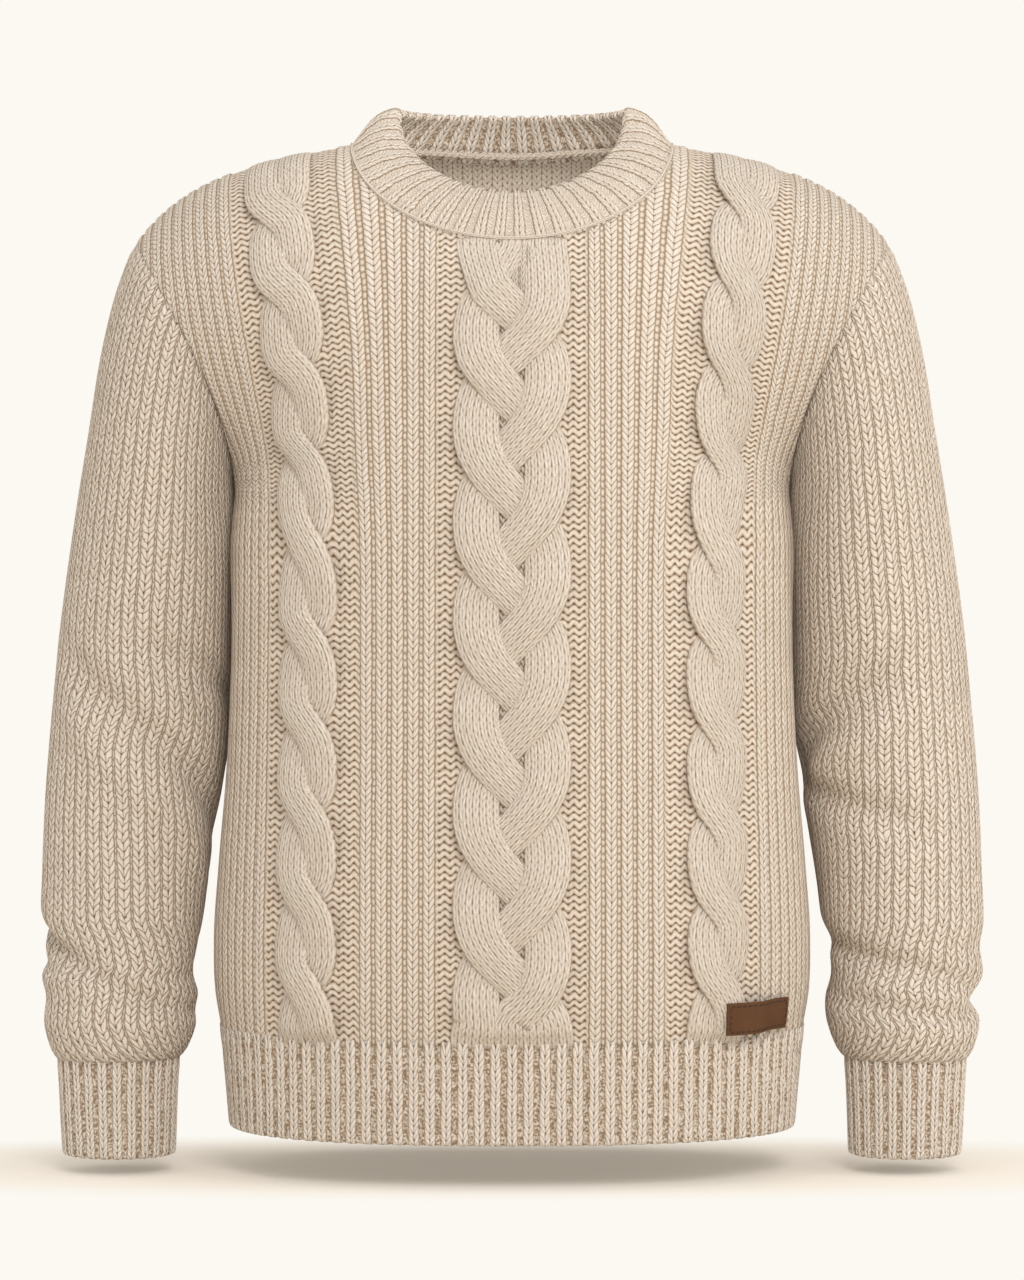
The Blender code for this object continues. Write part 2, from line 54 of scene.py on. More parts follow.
# height depth halfWidth squareness turn droop roll splay
frontRows = np.array([(height, depth, half, 2.35, 90, 2, 0, 0) for height, depth, _, half in lowRows] + [
    (-288, -132, 194.7, 2.33, 90, 2, 0, 0),
    (-262, -132, 192, 2.30, 90, 2, 0, 0.01),
    (-205, -130, 190, 2.20, 66, 2, 0, 0.03),
    (-150, -125, 190, 2.10, 56, 2, 0, 0.06),
    (-95, -113, 190, 2.05, 52, 2, 0.1, 0.09),
    (-44, -84, 190, 2, 50, 2.1, 0.3, 0.12),
    (-8, -46, 190, 2, 50, 2.2, 0.38, 0.13),
    (4.6, -16, 190, 2, 50, 2.2, 0.38, 0.13),
    (6, 0, 190, 2, 50, 2.2, 0.38, 0.13),
])
backRows = np.array([(height, depth, half, 2.25, 90, 2, 0, 0) for height, _, depth, half in lowRows] + [
    (-288, 122.5, 194.7, 2.25, 90, 2, 0, 0),
    (-262, 126, 192, 2.25, 90, 2, 0, 0),
    (-205, 131, 190, 2.15, 68, 2, 0, 0.02),
    (-150, 131, 190, 2.10, 60, 2, 0, 0.04),
    (-95, 124, 190, 2.05, 55, 2, 0.1, 0.07),
    (-42, 108, 190, 2, 52, 2.1, 0.3, 0.10),
    (-2, 86, 190, 2, 50, 2.2, 0.38, 0.12),
    (9, 48, 190, 2, 50, 2.2, 0.38, 0.13),
    (7.4, 16, 190, 2, 50, 2.2, 0.38, 0.13),
    (6, 0, 190, 2, 50, 2.2, 0.38, 0.13),
])
# outerX outerZ innerX innerZ halfDepth centreY egg bow
sleeveRows = np.array([
    (262, -69, 192, -246, 67, 3, 1, 11),
    (268, -80, 194.8, -250, 68, 4, 0.9, 10),
    (279, -110, 195.2, -263, 70, 8, 0.6, 7),
    (289, -152, 195.6, -280, 72, 12, 0.3, 3),
    (297, -200, 196, -303, 73, 16, 0.1, 0),
    (305.5, -250, 196.3, -329, 72, 19, 0, 0),
    (313, -300, 196.5, -358, 70, 21, 0, 0),
    (318.5, -342, 196.8, -382, 67, 22, 0, 0),
    (321.5, -374, 197.5, -402, 65, 21.5, 0, 0),
    (324, -402, 199, -420, 63.5, 20, 0, 0),
    (326, -428, 202, -438, 62, 18, 0, 0),
    (327.5, -453, 205, -458, 61, 15.5, 0, 0),
    (328.5, -480, 208.5, -482, 59.5, 12, 0, 0),
    (329, -512, 213, -512, 57, 7, 0, 0),
    (329.5, -542, 216.5, -542, 55, 2, 0, 0),
    (326.5, -560, 220, -562, 52.5, -1, 0, 0),
    (328.5, -578, 223, -579, 54, -4, 0, 0),
    (324.5, -594, 219, -595, 53.5, -7, 0, 0),
    (325.5, -612, 220, -612, 52, -10, 0, 0),
    (321, -629, 226, -629, 46, -13, 0, 0),
    (315.5, -638, 232, -637, 39.5, -15, 0, 0),
])
cuffRows = np.array([
    (315, -638.4, 232.5, -637.4, 39, -15, 0, 0),
    (313.5, -660, 233.5, -660, 36, -18, 0, 0),
    (312, -683, 234, -683, 34.5, -21, 0, 0),
    (310.5, -702.5, 234.5, -702.5, 34, -23, 0, 0),
])
# fromTurn fromLevel toTurn toLevel depth width: troughs in a sleeve, and ridges where depth is negative.
# A turn goes round the sleeve: 0 outside, 90 in front, 180 beside the body.
folds = {
    "right": [
        (-30, -533, 115, -592, 5, 8.5),
        (-30, -566, 45, -576, 2.5, 7),
        (100, -594, 190, -604, 3, 7),
        (40, -364, 175, -470, 5.5, 13),
        (40, -398, 165, -508, -2.5, 13),
        (95, -352, 185, -388, 3, 11),
        (200, -566, 320, -590, 5.5, 11),
        (205, -380, 300, -420, 4, 14),
    ],
    "left": [
        (80, -368, 178, -428, 6, 15),
        (78, -400, 172, -452, -2.5, 12),
        (75, -474, 175, -446, 4.5, 11),
        (25, -586, 170, -556, 5, 8.5),
        (35, -607, 165, -592, 3.5, 7),
        (-50, -588, 35, -603, 3.5, 7.5),
        (190, -560, 310, -588, 5.5, 11),
        (200, -400, 290, -372, 4, 14),
    ],
}
body = {
    "panelHalf": 262.0,         # half a panel's width, measured round the body
    "sideSeamY": 3.0,
    "pitRow": 10,
    "hemLevel": -684.0,
    "weltLevel": -618.0,
    "neckHalfWidth": 111.7,
    "neckFrontDrop": 77.0,
    "neckBackReach": 85.0,
    "neckFrontReach": 84.0,
    "neckWale": 97.0,           # the knitted column that meets the neck point
    "rowHeight": 4.95,          # one knitted row
    "neckCorner": {True: 0.75, False: 0.875},   # share of the way up from the armhole, front and back
    "straightHalf": 60.0,       # the columns this near the middle keep their place up to the neckline
    "besideNeck": 33.0,         # columns this near the neckline follow it
    "farOff": 99.0,             # room at points that are not near the neckline
}


def smoothStep(low, high, value):
    t = np.clip((value - low) / (high - low), 0.0, 1.0)
    return t * t * (3.0 - 2.0 * t)


def unit(vectors):
    return vectors / np.maximum(np.linalg.norm(vectors, axis=-1, keepdims=True), 1e-9)


def chordKnots(points):
    return np.concatenate([[0.0], np.cumsum(np.linalg.norm(np.diff(points, axis=0), axis=1))])


def resampled(places, knots, points):
    return np.column_stack([np.interp(places, knots, points[:, k]) for k in range(points.shape[1])])


def smoothBetween(rows, knots, places):
    slopes = np.gradient(rows, knots, axis=0)
    k = np.clip(np.searchsorted(knots, places, side="right") - 1, 0, len(knots) - 2)
    span = (knots[k + 1] - knots[k])[:, None]
    t = (places[:, None] - knots[k][:, None]) / span
    ease = t * t * (3.0 - 2.0 * t)
    leave, arrive = (t ** 3 - 2.0 * t * t + t) * span, (t ** 3 - t * t) * span
    return rows[k] * (1.0 - ease) + rows[k + 1] * ease + slopes[k] * leave + slopes[k + 1] * arrive


def ringPoint(rows, turn):
    outerX, outerZ, innerX, innerZ, halfDepth, centreY, egg, bow = np.moveaxis(rows, -1, 0)
    reachX, reachZ = (outerX - innerX) / 2.0, (outerZ - innerZ) / 2.0
    size = np.hypot(reachX, reachZ)
    lean = bow * np.sin(turn) ** 2 * (1.0 - 0.45 * np.cos(turn))
    x = (outerX + innerX) / 2.0 + reachX * np.cos(turn) - np.abs(reachZ) / size * lean
    z = (outerZ + innerZ) / 2.0 + reachZ * np.cos(turn) + reachX / size * lean
    width = halfDepth * ((1.0 - egg) + egg * 1.3 * np.abs(np.cos(turn / 2.0)) ** 0.8)
    return np.stack([x, centreY - width * np.sin(turn), z], axis=-1)


def armholeTurn(share):
    turns = np.linspace(math.pi, 0.0, 400)
    along = chordKnots(ringPoint(sleeveRows[0], turns))
    return np.interp(share * along[-1], along, turns)


def sampled(table, row, column):
    # reads a regular table of points between its rows and columns
    r = np.clip(row, 0, table.shape[0] - 1.001)
    c = np.clip(column, 0, table.shape[1] - 1.001)
    r0, c0 = r.astype(int), c.astype(int)
    fr, fc = r - r0, c - c0
    if table.ndim == 3:
        fr, fc = fr[..., None], fc[..., None]
    low = table[r0, c0] * (1 - fc) + table[r0, c0 + 1] * fc
    high = table[r0 + 1, c0] * (1 - fc) + table[r0 + 1, c0 + 1] * fc
    return low * (1 - fr) + high * fr


def neckEdge(isInside, outer, inner):
    # closes in on the edge of the neck's opening, between a place outside it and one inside
    for _ in range(panelGrid["halvings"]):
        middle = (outer + inner) / 2.0
        inside = isInside(middle)
        outer, inner = np.where(inside, outer, middle), np.where(inside, middle, inner)
    return outer, inner


# how finely a panel's surface is tabled: places up it, distances across it, points on the curve of one place
panelGrid = {
    "places": 461,
    "distances": 132,
    "curve": 121,
    "lengthStep": 2.0,
    "longest": 302.0,           # more than any length from the centre line to an edge
    "halvings": 22,
    "alongNeck": (80, 60),      # points on the neckline, across its foot and up its side
}


class Panel:
    # the surface of the front or of the back, by the distance round it and the place up it
    def __init__(self, rows, isFront):
        self.isFront = isFront
        self.knots = knots = chordKnots(rows[:, [1, 0]])
        self.pit, self.top = knots[body["pitRow"]], knots[-1]
        self.levels = rows[:body["pitRow"] + 1, 0]
        self.placeStep = self.top / (panelGrid["places"] - 1)
        self.acrossStep = body["panelHalf"] / (panelGrid["distances"] - 1)
        places = np.linspace(0.0, self.top, panelGrid["places"])
        row = smoothBetween(rows, knots, places)
        share = np.clip(1.0 - (self.pit - places) / (self.pit - knots[body["pitRow"] - 2]), 0.0, 1.0)
        lift = (sleeveRows[0, 3] - rows[body["pitRow"], 0]) * share ** 2 * (3.0 - 2.0 * share)
        edge = np.column_stack([row[:, 2], np.full(len(places), body["sideSeamY"]), row[:, 0] + lift])
        above = places > self.pit
        turns = armholeTurn((places[above] - self.pit) / (self.top - self.pit))
        edge[above] = ringPoint(sleeveRows[0], turns if isFront else -turns)
        reach = np.radians(np.minimum(row[:, 4:5], 90.0))
        sweep = np.linspace(0.0, 1.0, panelGrid["curve"])[None, :] * reach
        power = 2.0 / row[:, 3:4]
        across = (np.sin(sweep) / np.sin(reach)) ** power
        inset = 1.0 - np.clip(np.cos(sweep), 0.0, 1.0) ** power
        inset /= inset[:, -1:]
        fall = (1.0 - row[:, 6:7]) * across ** row[:, 5:6] + row[:, 6:7] * across ** 9
        curve = np.stack([
            edge[:, :1] * across,
            row[:, 1:2] + (edge[:, 1:2] - row[:, 1:2]) * inset,
            row[:, :1] + (edge[:, 2:] - row[:, :1]) * fall,
        ], axis=-1)
        distances = np.linspace(0.0, 1.0, panelGrid["distances"])
        table = np.zeros((len(places), len(distances), 3))
        for p in range(len(places)):
            along = chordKnots(curve[p])
            shares = distances + row[p, 7] * distances * (1.0 - distances)
            table[p] = resampled(shares * along[-1], along, curve[p])
        self.table = table
        # true length from the centre line to each point of a row, and the way back from lengths to the table
        steps = np.linalg.norm(np.diff(table, axis=1), axis=2)
        self.lengths = np.concatenate([np.zeros((len(places), 1)), np.cumsum(steps, axis=1)], axis=1)
        spread = np.arange(0.0, panelGrid["longest"], panelGrid["lengthStep"])
        self.fromLength = np.array([np.interp(spread, row, distances * body["panelHalf"]) for row in self.lengths])
        out = np.cross(np.gradient(table, axis=1), np.gradient(table, axis=0))
        self.out = unit(out if isFront else -out)

    def at(self, distance, place):
        row, column = place / self.placeStep, np.abs(distance) / self.acrossStep
        flip = np.stack([np.where(distance < 0, -1.0, 1.0), np.ones_like(row), np.ones_like(row)], axis=-1)
        return sampled(self.table, row, column) * flip, unit(sampled(self.out, row, column)) * flip

    def lengthAt(self, distance, place):
        return sampled(self.lengths, place / self.placeStep, np.abs(distance) / self.acrossStep)

    def atLength(self, length, place):
        # a point by its true length from the centre line
        distance = sampled(self.fromLength, place / self.placeStep, np.abs(length) / panelGrid["lengthStep"])
        return self.at(np.where(length < 0.0, -distance, distance), place)

    def placeAtLevel(self, level, length=0.0):
        # how far up the panel a level lies, on the line that keeps this length from the centre
        places = np.arange(len(self.table)) * self.placeStep
        heights = self.atLength(np.full(len(places), length), places)[0][:, 2]
        return np.interp(level, heights, places)

    def placeOf(self, level):
        return float(np.interp(level, self.levels, self.knots[:body["pitRow"] + 1]))

    def inNeck(self, distance, place):
        point = self.at(distance, place)[0]
        if self.isFront:
            return np.hypot(point[..., 0] / body["neckHalfWidth"],
                            np.minimum(0.0, point[..., 2]) / body["neckFrontDrop"]) < 1.0
        return np.hypot(point[..., 0] / body["neckHalfWidth"], point[..., 1] / body["neckBackReach"]) < 1.0

    def columnEnd(self, distance):
        # how far up a knitted column runs before the neckline
        low, high = [np.full(distance.shape, place) for place in (self.pit, self.top)]
        return neckEdge(lambda place: self.inNeck(distance, place), low, high)[0]

    def necklineAt(self, place):
        # how far round the panel the neckline lies beside the neck
        wale = np.full(place.shape, body["neckWale"])
        return neckEdge(lambda distance: self.inNeck(distance, place), wale, np.zeros(place.shape))[1]

    def prepareNeck(self):
        acrossFoot, upSide = panelGrid["alongNeck"]
        self.neckPlace = self.pit + (self.top - self.pit) * body["neckCorner"][self.isFront]
        self.anchor = self.knots[body["pitRow"] - 3]
        self.cornerSide = float(self.necklineAt(np.array([self.neckPlace]))[0])
        self.endAcross = np.linspace(0.0, self.cornerSide, acrossFoot)
        self.endPlaces = self.columnEnd(self.endAcross)
        self.sidePlaces = np.linspace(self.neckPlace, self.top, upSide)
        self.sideAcross = self.necklineAt(self.sidePlaces)

    def settle(self, column, q):
        # where a net's column and row lie on the panel once its top follows the neckline
        wale, straight, side = body["neckWale"], body["straightHalf"], np.where(column < 0, -1.0, 1.0)
        s = np.abs(column)
        share = np.clip((q - self.anchor) / (self.neckPlace - self.anchor), 0.0, 1.0)
        narrow = straight + (s - straight) * (self.cornerSide - straight) / (wale - straight)
        narrow = np.where(s > straight, narrow, s)
        end = np.interp(narrow, self.endAcross, self.endPlaces)
        inside = s < wale - 1e-6
        beside = np.interp(np.maximum(q, self.neckPlace), self.sidePlaces, self.sideAcross)
        beside = wale + (beside - wale) * share
        outer = s + (beside - wale) * np.clip(1.0 - (s - wale) / body["besideNeck"], 0.0, 1.0)
        across = np.where(inside, s + (narrow - s) * share, outer)
        place = np.where(inside & (share > 0.0), self.anchor + share * (end - self.anchor), q)
        room = np.where(inside, end - place, np.where(q > self.neckPlace, outer - beside, body["farOff"]))
        nearCorner = np.hypot(np.maximum(0.0, self.neckPlace - q), np.maximum(0.0, outer - beside))
        room = np.where(inside, room, np.minimum(room, nearCorner))
        return across * side, place, room


front, back = Panel(frontRows, True), Panel(backRows, False)
front.prepareNeck()
back.prepareNeck()
print("panels laid out")


# ---- nets of stitches and how they become cloth

def flatNet(columns, rows, leaveOut=None):
    bm = bmesh.new()
    bmesh.ops.create_grid(bm, x_segments=columns, y_segments=rows, size=0.5)
    if leaveOut:
        middles = [(face, face.calc_center_median()) for face in bm.faces]
        gone = [face for face, middle in middles if leaveOut(middle.x + 0.5, middle.y + 0.5)]
        bmesh.ops.delete(bm, geom=gone, context="FACES")
    bmesh.ops.solidify(bm, geom=bm.faces[:], thickness=0.01)
    return bm


def roundNet(columns, rows, wall=True):
    bm = bmesh.new()
    ends = [bm.verts.new((1.0, 0.0, 0.0)), bm.verts.new((1.0, 0.0, 1.0))]
    edge = bm.edges.new(ends)
    if rows > 1:
        bmesh.ops.subdivide_edges(bm, edges=[edge], cuts=rows - 1)
    bmesh.ops.spin(bm, geom=bm.verts[:] + bm.edges[:], cent=(0, 0, 0), axis=(0, 0, 1),
                   angle=2.0 * math.pi, steps=columns, use_merge=True)
    if wall:
        bmesh.ops.solidify(bm, geom=bm.faces[:], thickness=0.01)
    else:
        bmesh.ops.holes_fill(bm, edges=[e for e in bm.edges if e.is_boundary], sides=0)
    return bm


def readNet(mesh, around):
    raw = np.empty(len(mesh.vertices) * 3)
    mesh.vertices.foreach_get("co", raw)
    raw = raw.reshape(-1, 3)
    if around:
        across = np.arctan2(raw[:, 1], raw[:, 0]) / (2.0 * math.pi) % 1.0
        across[across > 0.99999] = 0.0
        return across, np.round(raw[:, 2], 5), np.hypot(raw[:, 0], raw[:, 1]) < 1.005
    return np.round(raw[:, 0] + 0.5, 6), np.round(raw[:, 1] + 0.5, 6), raw[:, 2] < -0.005


def corners(mesh):
    starts, index = np.empty(len(mesh.polygons), int), np.empty(len(mesh.loops), int)
    mesh.polygons.foreach_get("loop_start", starts)
    mesh.loops.foreach_get("vertex_index", index)
    return starts, index


def signedVolume(mesh, points):
    mesh.calc_loop_triangles()
    index = np.empty(len(mesh.loop_triangles) * 3, int)
    mesh.loop_triangles.foreach_get("vertices", index)
    a, b, c = np.moveaxis(points[index.reshape(-1, 3)], 1, 0)
    return float(np.sum(a * np.cross(b, c)))


def makePiece(name, bm, lay, material, around=False, stitchCount=0, mirrored=False, lining=None):
    # lay gives each point of the net its place, its stitch and row, and any named amounts
    mesh = bpy.data.meshes.new(name)
    bm.to_mesh(mesh)
    bm.free()
    across, up, inner = readNet(mesh, around)
    points, stitch, row, amounts = lay(across, up, inner)
    mesh.vertices.foreach_set("co", (points * mm).ravel())
    if signedVolume(mesh, points) < 0.0:
        mesh.flip_normals()
    starts, index = corners(mesh)
    u, v, a = stitch[index], row[index], across[index]
    if around:
        faceOf = np.repeat(np.arange(len(starts)), np.diff(np.append(starts, len(index))))
        high = np.maximum.reduceat(a, starts)[faceOf] - np.minimum.reduceat(a, starts)[faceOf] > 0.5
        wrapped = high & (a < 0.5)
        if mirrored:
            middle = np.add.reduceat(np.where(wrapped, a + 1.0, a), starts) / np.diff(np.append(starts, len(index)))
            u = np.where(middle[faceOf] > 0.5, -u, u)
        else:
            u = np.where(wrapped, u + stitchCount, u)
    layer = mesh.uv_layers.new(name="knit")
    layer.data.foreach_set("uv", np.column_stack([u, v]).ravel().astype(np.float32))
    for key, values in amounts.items():
        mesh.attributes.new(key, "FLOAT", "POINT").data.foreach_set("value", values.astype(np.float32))
    mesh.shade_smooth()
    mesh.materials.append(material)
    if lining:
        mesh.materials.append(lining)
        mesh.polygons.foreach_set("material_index", np.minimum.reduceat(inner[index].astype(int), starts))
    mesh.update()
    piece = bpy.data.objects.new(name, mesh)
    deskCollection.objects.link(piece)
    return piece


def ribProfile(stitch, half=0.36, ease=0.1, groove=0.3):
    # 1 along a rib, with the groove between its two legs, and 0 in the purl between ribs
    x = np.abs(stitch - np.floor(stitch) - 0.5)
    return (1.0 - smoothStep(half - ease, half + ease, x)) - groove * np.exp(-(x / 0.07) ** 2)


# ---- materials

class Wiring:
    # a tree of nodes: add makes a node and gives its outputs, calc makes a sum and gives its result
    def __init__(self, tree):
        self.links, self.nodes = tree.links, tree.nodes

    def feed(self, node, inputs):
        # each input takes a number, a colour or another node's output
        for key, value in inputs.items():
            if isinstance(value, bpy.types.NodeSocket):
                self.links.new(value, node.inputs[key])
            else:
                node.inputs[key].default_value = value

    def add(self, kind, inputs, **settings):
        node = self.nodes.new("ShaderNode" + kind)
        for key, value in settings.items():
            setattr(node, key, value)
        self.feed(node, inputs)
        return node.outputs

    def calc(self, operation, *values):
        return self.add("Math", dict(enumerate(values)), operation=operation)[0]

    def limit(self, value):
        return self.least(self.most(value, 0.0), 1.0)

    def blend(self, amount, low, high):
        return self.add("Mix", {0: amount, 2: low, 3: high})[0]

    def blendColour(self, amount, low, high):
        low, high = [(*tone, 1.0) if isinstance(tone, tuple) else tone for tone in (low, high)]
        return self.add("Mix", {0: amount, 6: low, 7: high}, data_type="RGBA")[2]

    def noise(self, scale, detail=3.0, roughness=0.6, place=None):
        place = place or self.add("TexCoord", {})["Object"]
        settings = {"Vector": place, "Scale": scale, "Detail": detail, "Roughness": roughness}
        return self.add("TexNoise", settings)["Fac"]


# one method for each sum; line is first x second + third
for word, operation in (("line", "MULTIPLY_ADD"), ("times", "MULTIPLY"), ("plus", "ADD"), ("minus", "SUBTRACT"),
                        ("over", "DIVIDE"), ("power", "POWER"), ("size", "ABSOLUTE"), ("sine", "SINE"),
                        ("part", "FRACT"), ("whole", "FLOOR"), ("least", "MINIMUM"), ("most", "MAXIMUM"),
                        ("below", "LESS_THAN")):
    setattr(Wiring, word, functools.partialmethod(Wiring.calc, operation))


def newMaterial(name):
    material = bpy.data.materials.new(name)
    material.use_nodes = True
    wire = Wiring(material.node_tree)
    return material, wire, wire.nodes["Principled BSDF"]


wool = {
    "light": (0.822, 0.742, 0.655),
    "mid": (0.640, 0.545, 0.448),
    "line": (0.385, 0.290, 0.200),    # painted shade where one stitch ends and the next begins
    "deep": (0.170, 0.096, 0.048),    # painted shade in the holes where four stitches meet
    "fleck": (0.92, 0.87, 0.80),      # stray pale hairs
    "sheen": 0.15,
    "relief": 0.0012,                 # height of a stitch, metres
}
# half: a rib's half width in the pitch. slant: rows that a leg climbs. Depths: edge, between two columns;
# seam, between the two legs; gap, between one stitch and the next; hole, at the foot of each stitch.
# slit: how far the edges open only at the ends of the stitches. sharp: how narrow the edges are.
# valley: what fills the purl between the ribs. wander: how uneven the stitches lie. plies: fine strands across a leg.
# tone: how far the strands differ, and how light they are.
knitTraits = ("half", "slant", "edge", "seam", "gap", "hole", "slit", "sharp",
              "valley", "relief", "wander", "plies", "tone")
knits = {name: dict(zip(knitTraits, traits)) for name, traits in {
    "front_knit": (0.37, 1.0, 0.95, 0.72, 0.88, 0.15, 0.0, 3.4, "beads", 1.1, 1.3, 5.0, (1.7, -1.25)),
    "plain_knit": (0.43, 1.0, 0.95, 0.75, 0.92, 0.2, 0.0, 3.6, "beads", 1.2, 2.6, 5.0, (1.7, -1.25)),
    # the welt ribs of the hem and cuffs are painted lighter than the other knits of the one yarn, to make up for the
    # less light that reaches them
    "welt_rib": (0.33, 1.2, 1.0, 0.72, 0.72, 0.25, 0.0, 3.2, "curls", 1.3, 2.2, 5.0, (1.6, -0.70)),
    "neck_rib": (0.28, 1.4, 1.0, 0.8, 0.64, 0.3, 0.0, 3.0, "chevrons", 1.1, 1.6, 4.0, (1.7, -1.25)),
    "cable_knit": (0.5, 0.6, 1.0, 0.64, 0.47, 0.0, 0.38, 2.2, "", 1.5, 2.3, 2.6, (3.2, -2.10)),
    "inner_knit": (0.5, 0.9, 1.0, 0.6, 0.7, 0.2, 0.3, 2.4, "", 1.2, 2.0, 4.0, (1.5, -1.15)),
    "cord_knit": (0.5, 0.8, 0.9, 0.7, 0.6, 0.2, 0.0, 3.2, "", 0.5, 1.0, 4.0, (1.5, -1.15)),
}.items()}


def valleyHeight(wire, kind, valley, row):
    if kind == "beads":
        bead = wire.sine(wire.times(wire.part(wire.plus(row, 0.4)), math.pi))
        lump = wire.times(valley, wire.line(bead, 0.62, 0.02))
        return wire.plus(lump, 0.12)
    if kind == "curls":
        curl = wire.limit(wire.line(wire.noise(560.0, 1.0, 0.5), 3.6, -1.35))
        return wire.line(curl, 0.42, 0.1)
    lines = wire.times(wire.line(valley, 0.6, row), 4.0 * math.pi)
    chevron = wire.line(wire.sine(lines), 0.22, 0.34)
    chevron = wire.line(wire.noise(500.0, 1.5, 0.5), 0.5, chevron)
    return wire.times(chevron, wire.limit(wire.line(valley, 4.0, 0.15)))


def purlHeight(wire, stitch, row):
    # waves of yarn lying across, with a hole at each crest and each trough
    wave = wire.sine(wire.times(stitch, 1.37 * 2.0 * math.pi))
    line = wire.sine(wire.times(wire.line(wave, 0.24, row), math.pi))
    ridge = wire.power(wire.most(wire.size(line), 0.001), 0.75)
    hole = wire.power(wire.size(wave), 4.0)
    depth = wire.line(hole, 0.36, 0.52)
    return wire.minus(0.57, wire.times(depth, wire.minus(1.0, ridge)))


def plyNoise(wire, aside, climb, leg, along):
    # long strands that lie along each leg of a stitch, different in every stitch
    apart = wire.plus(wire.times(climb, 7.7), wire.times(leg, 13.3))
    return wire.noise(1.3, 2.0, 0.6, wire.add("CombineXYZ", {0: aside, 1: apart, 2: along})[0])


def knitMaterial(name, channels=False):
    # knit columns of two slanting legs, with purl between them
    look = knits[name]
    half = look["half"]
    material, wire, shader = newMaterial(name)
    across, up, _ = wire.add("SeparateXYZ", {0: wire.add("UVMap", {}, uv_map="knit")["UV"]})
    wander = wire.minus(wire.noise(80.0, 3.0, 0.75), 0.5)
    uneven = wire.minus(wire.noise(110.0, 3.0, 0.7), 0.5)
    stitch = wire.line(wander, 0.13 * look["wander"], across)
    row = wire.line(uneven, 0.6 * look["wander"], up)
    x = wire.size(wire.minus(wire.part(stitch), 0.5))
    leg = wire.least(wire.over(x, half), 1.0)
    off = wire.line(leg, 2.0, -1.0)
    edge = wire.power(wire.size(off), look["sharp"])
    inner = wire.below(off, 0.0)
    edgeDepth = wire.line(inner, look["seam"] - look["edge"], look["edge"])
    climb = wire.minus(row, wire.times(leg, look["slant"]))
    phase = wire.part(climb)
    far = wire.size(wire.line(phase, 2.0, -1.0))
    end = wire.power(far, 3.4)
    if look["slit"]:
        edgeDepth = wire.times(edgeDepth, wire.line(far, look["slit"], 1.0 - look["slit"]))
    bulge = wire.minus(1.0, wire.times(edge, edgeDepth))
    knit = wire.times(bulge, wire.line(end, -look["gap"], 1.0))
    foot = wire.limit(wire.line(leg, -5.0, 1.3))
    hole = wire.times(foot, end)
    knit = wire.most(wire.line(hole, -look["hole"], knit), 0.0)
    height = knit
    if look["valley"]:
        valley = wire.most(wire.over(wire.minus(x, half), 0.5 - half), 0.0)
        between = wire.limit(wire.line(wire.minus(x, half), 40.0, 0.5))
        height = wire.blend(between, knit, valleyHeight(wire, look["valley"], valley, row))
    if channels:
        share = wire.add("Attribute", {}, attribute_name="purl")["Fac"]
        height = wire.blend(share, height, purlHeight(wire, stitch, row))
    fibre = wire.noise(1500.0, 3.0, 0.7)
    strand = wire.noise(420.0, 4.0, 0.65)
    ply = plyNoise(wire, wire.times(wire.line(phase, -0.35, leg), look["plies"]),
                   wire.whole(climb), wire.whole(wire.times(stitch, 2.0)), phase)
    fuzzy = wire.plus(wire.line(fibre, 0.34, height), wire.times(strand, 0.2))
    fuzzy = wire.line(ply, 0.3, fuzzy)
    relief = wool["relief"] * look["relief"]
    bump = wire.add("Bump", {"Strength": 0.9, "Distance": relief, "Height": fuzzy})["Normal"]
    blend = wire.plus(wire.times(strand, 0.9), wire.times(fibre, 1.0))
    contrast, lightness = look["tone"]
    heather = wire.limit(wire.plus(wire.line(ply, contrast, blend), lightness))
    fleck = wire.limit(wire.line(wire.noise(800.0, 1.0, 0.5), 7.0, -4.4))
    yarn = wire.blendColour(heather, wool["mid"], wool["light"])
    yarn = wire.blendColour(wire.times(fleck, 0.6), yarn, wool["fleck"])
    # the colour darkens where the knit lies low: painted shade in the gaps, holes, valleys and purl between stitches
    colour = wire.blendColour(wire.limit(wire.over(height, 0.2)), wool["deep"], wool["line"])
    colour = wire.blendColour(wire.limit(wire.line(height, 2.5, -0.45)), colour, yarn)
    wire.feed(shader, {"Base Color": colour, "Normal": bump, "Roughness": 0.95, "Specular IOR Level": 0.15,
                       "Sheen Weight": wool["sheen"], "Sheen Roughness": 0.6, "Sheen Tint": (1.0, 0.9, 0.78, 1.0)})
    return material


frontKnit = knitMaterial("front_knit", channels=True)
plainKnit = knitMaterial("plain_knit")
weltRib = knitMaterial("welt_rib")
neckRib = knitMaterial("neck_rib")
cableKnit = knitMaterial("cable_knit")
cordKnit = knitMaterial("cord_knit")
innerKnit = knitMaterial("inner_knit")


# ---- the two panels

panelCloth = {
    "columns": 400,
    "rows": 104,
    "wall": 3.0,
    "ribHeight": 1.4,
    "bedDepth": 1.0,            # the ground beside the cables lies lower
    "backPitch": 10.9,
    "insidePitch": 7.2,
    "overlap": 0.05,
    "flat": {"front": (0.524, 0.700), "back": (0.524, 0.705)},
    "area": {"front": 0.325, "back": 0.330},
}
# length from the centre line, stitches counted up to there, purl ground, depth of the bed under the cables
frontZones = np.array([
    (0, 0, 1, -1.6),
    (27, 5.7, 1, -1.6),
    (36, 6.6, 1, 1),
    (43, 7.3, 1, 0.25),
    (49.4, 7.94, 1, 0.1),
    (50.4, 8.04, 0, 0),
    (103.6, 12.96, 0, 0),
    (104.6, 13.06, 1, 0.1),
    (113, 13.9, 1, 0.3),
    (119, 14.5, 1, 1),
    (130, 15.4, 1, -1.4),
    (154, 17, 1, -1.4),
    (164, 17.9, 1, 1),
    (170, 18.4, 1, 0.3),
    (176.4, 18.96, 1, 0.1),
    (177.4, 19.05, 0, 0),
    (286, 29, 0, 0),
])


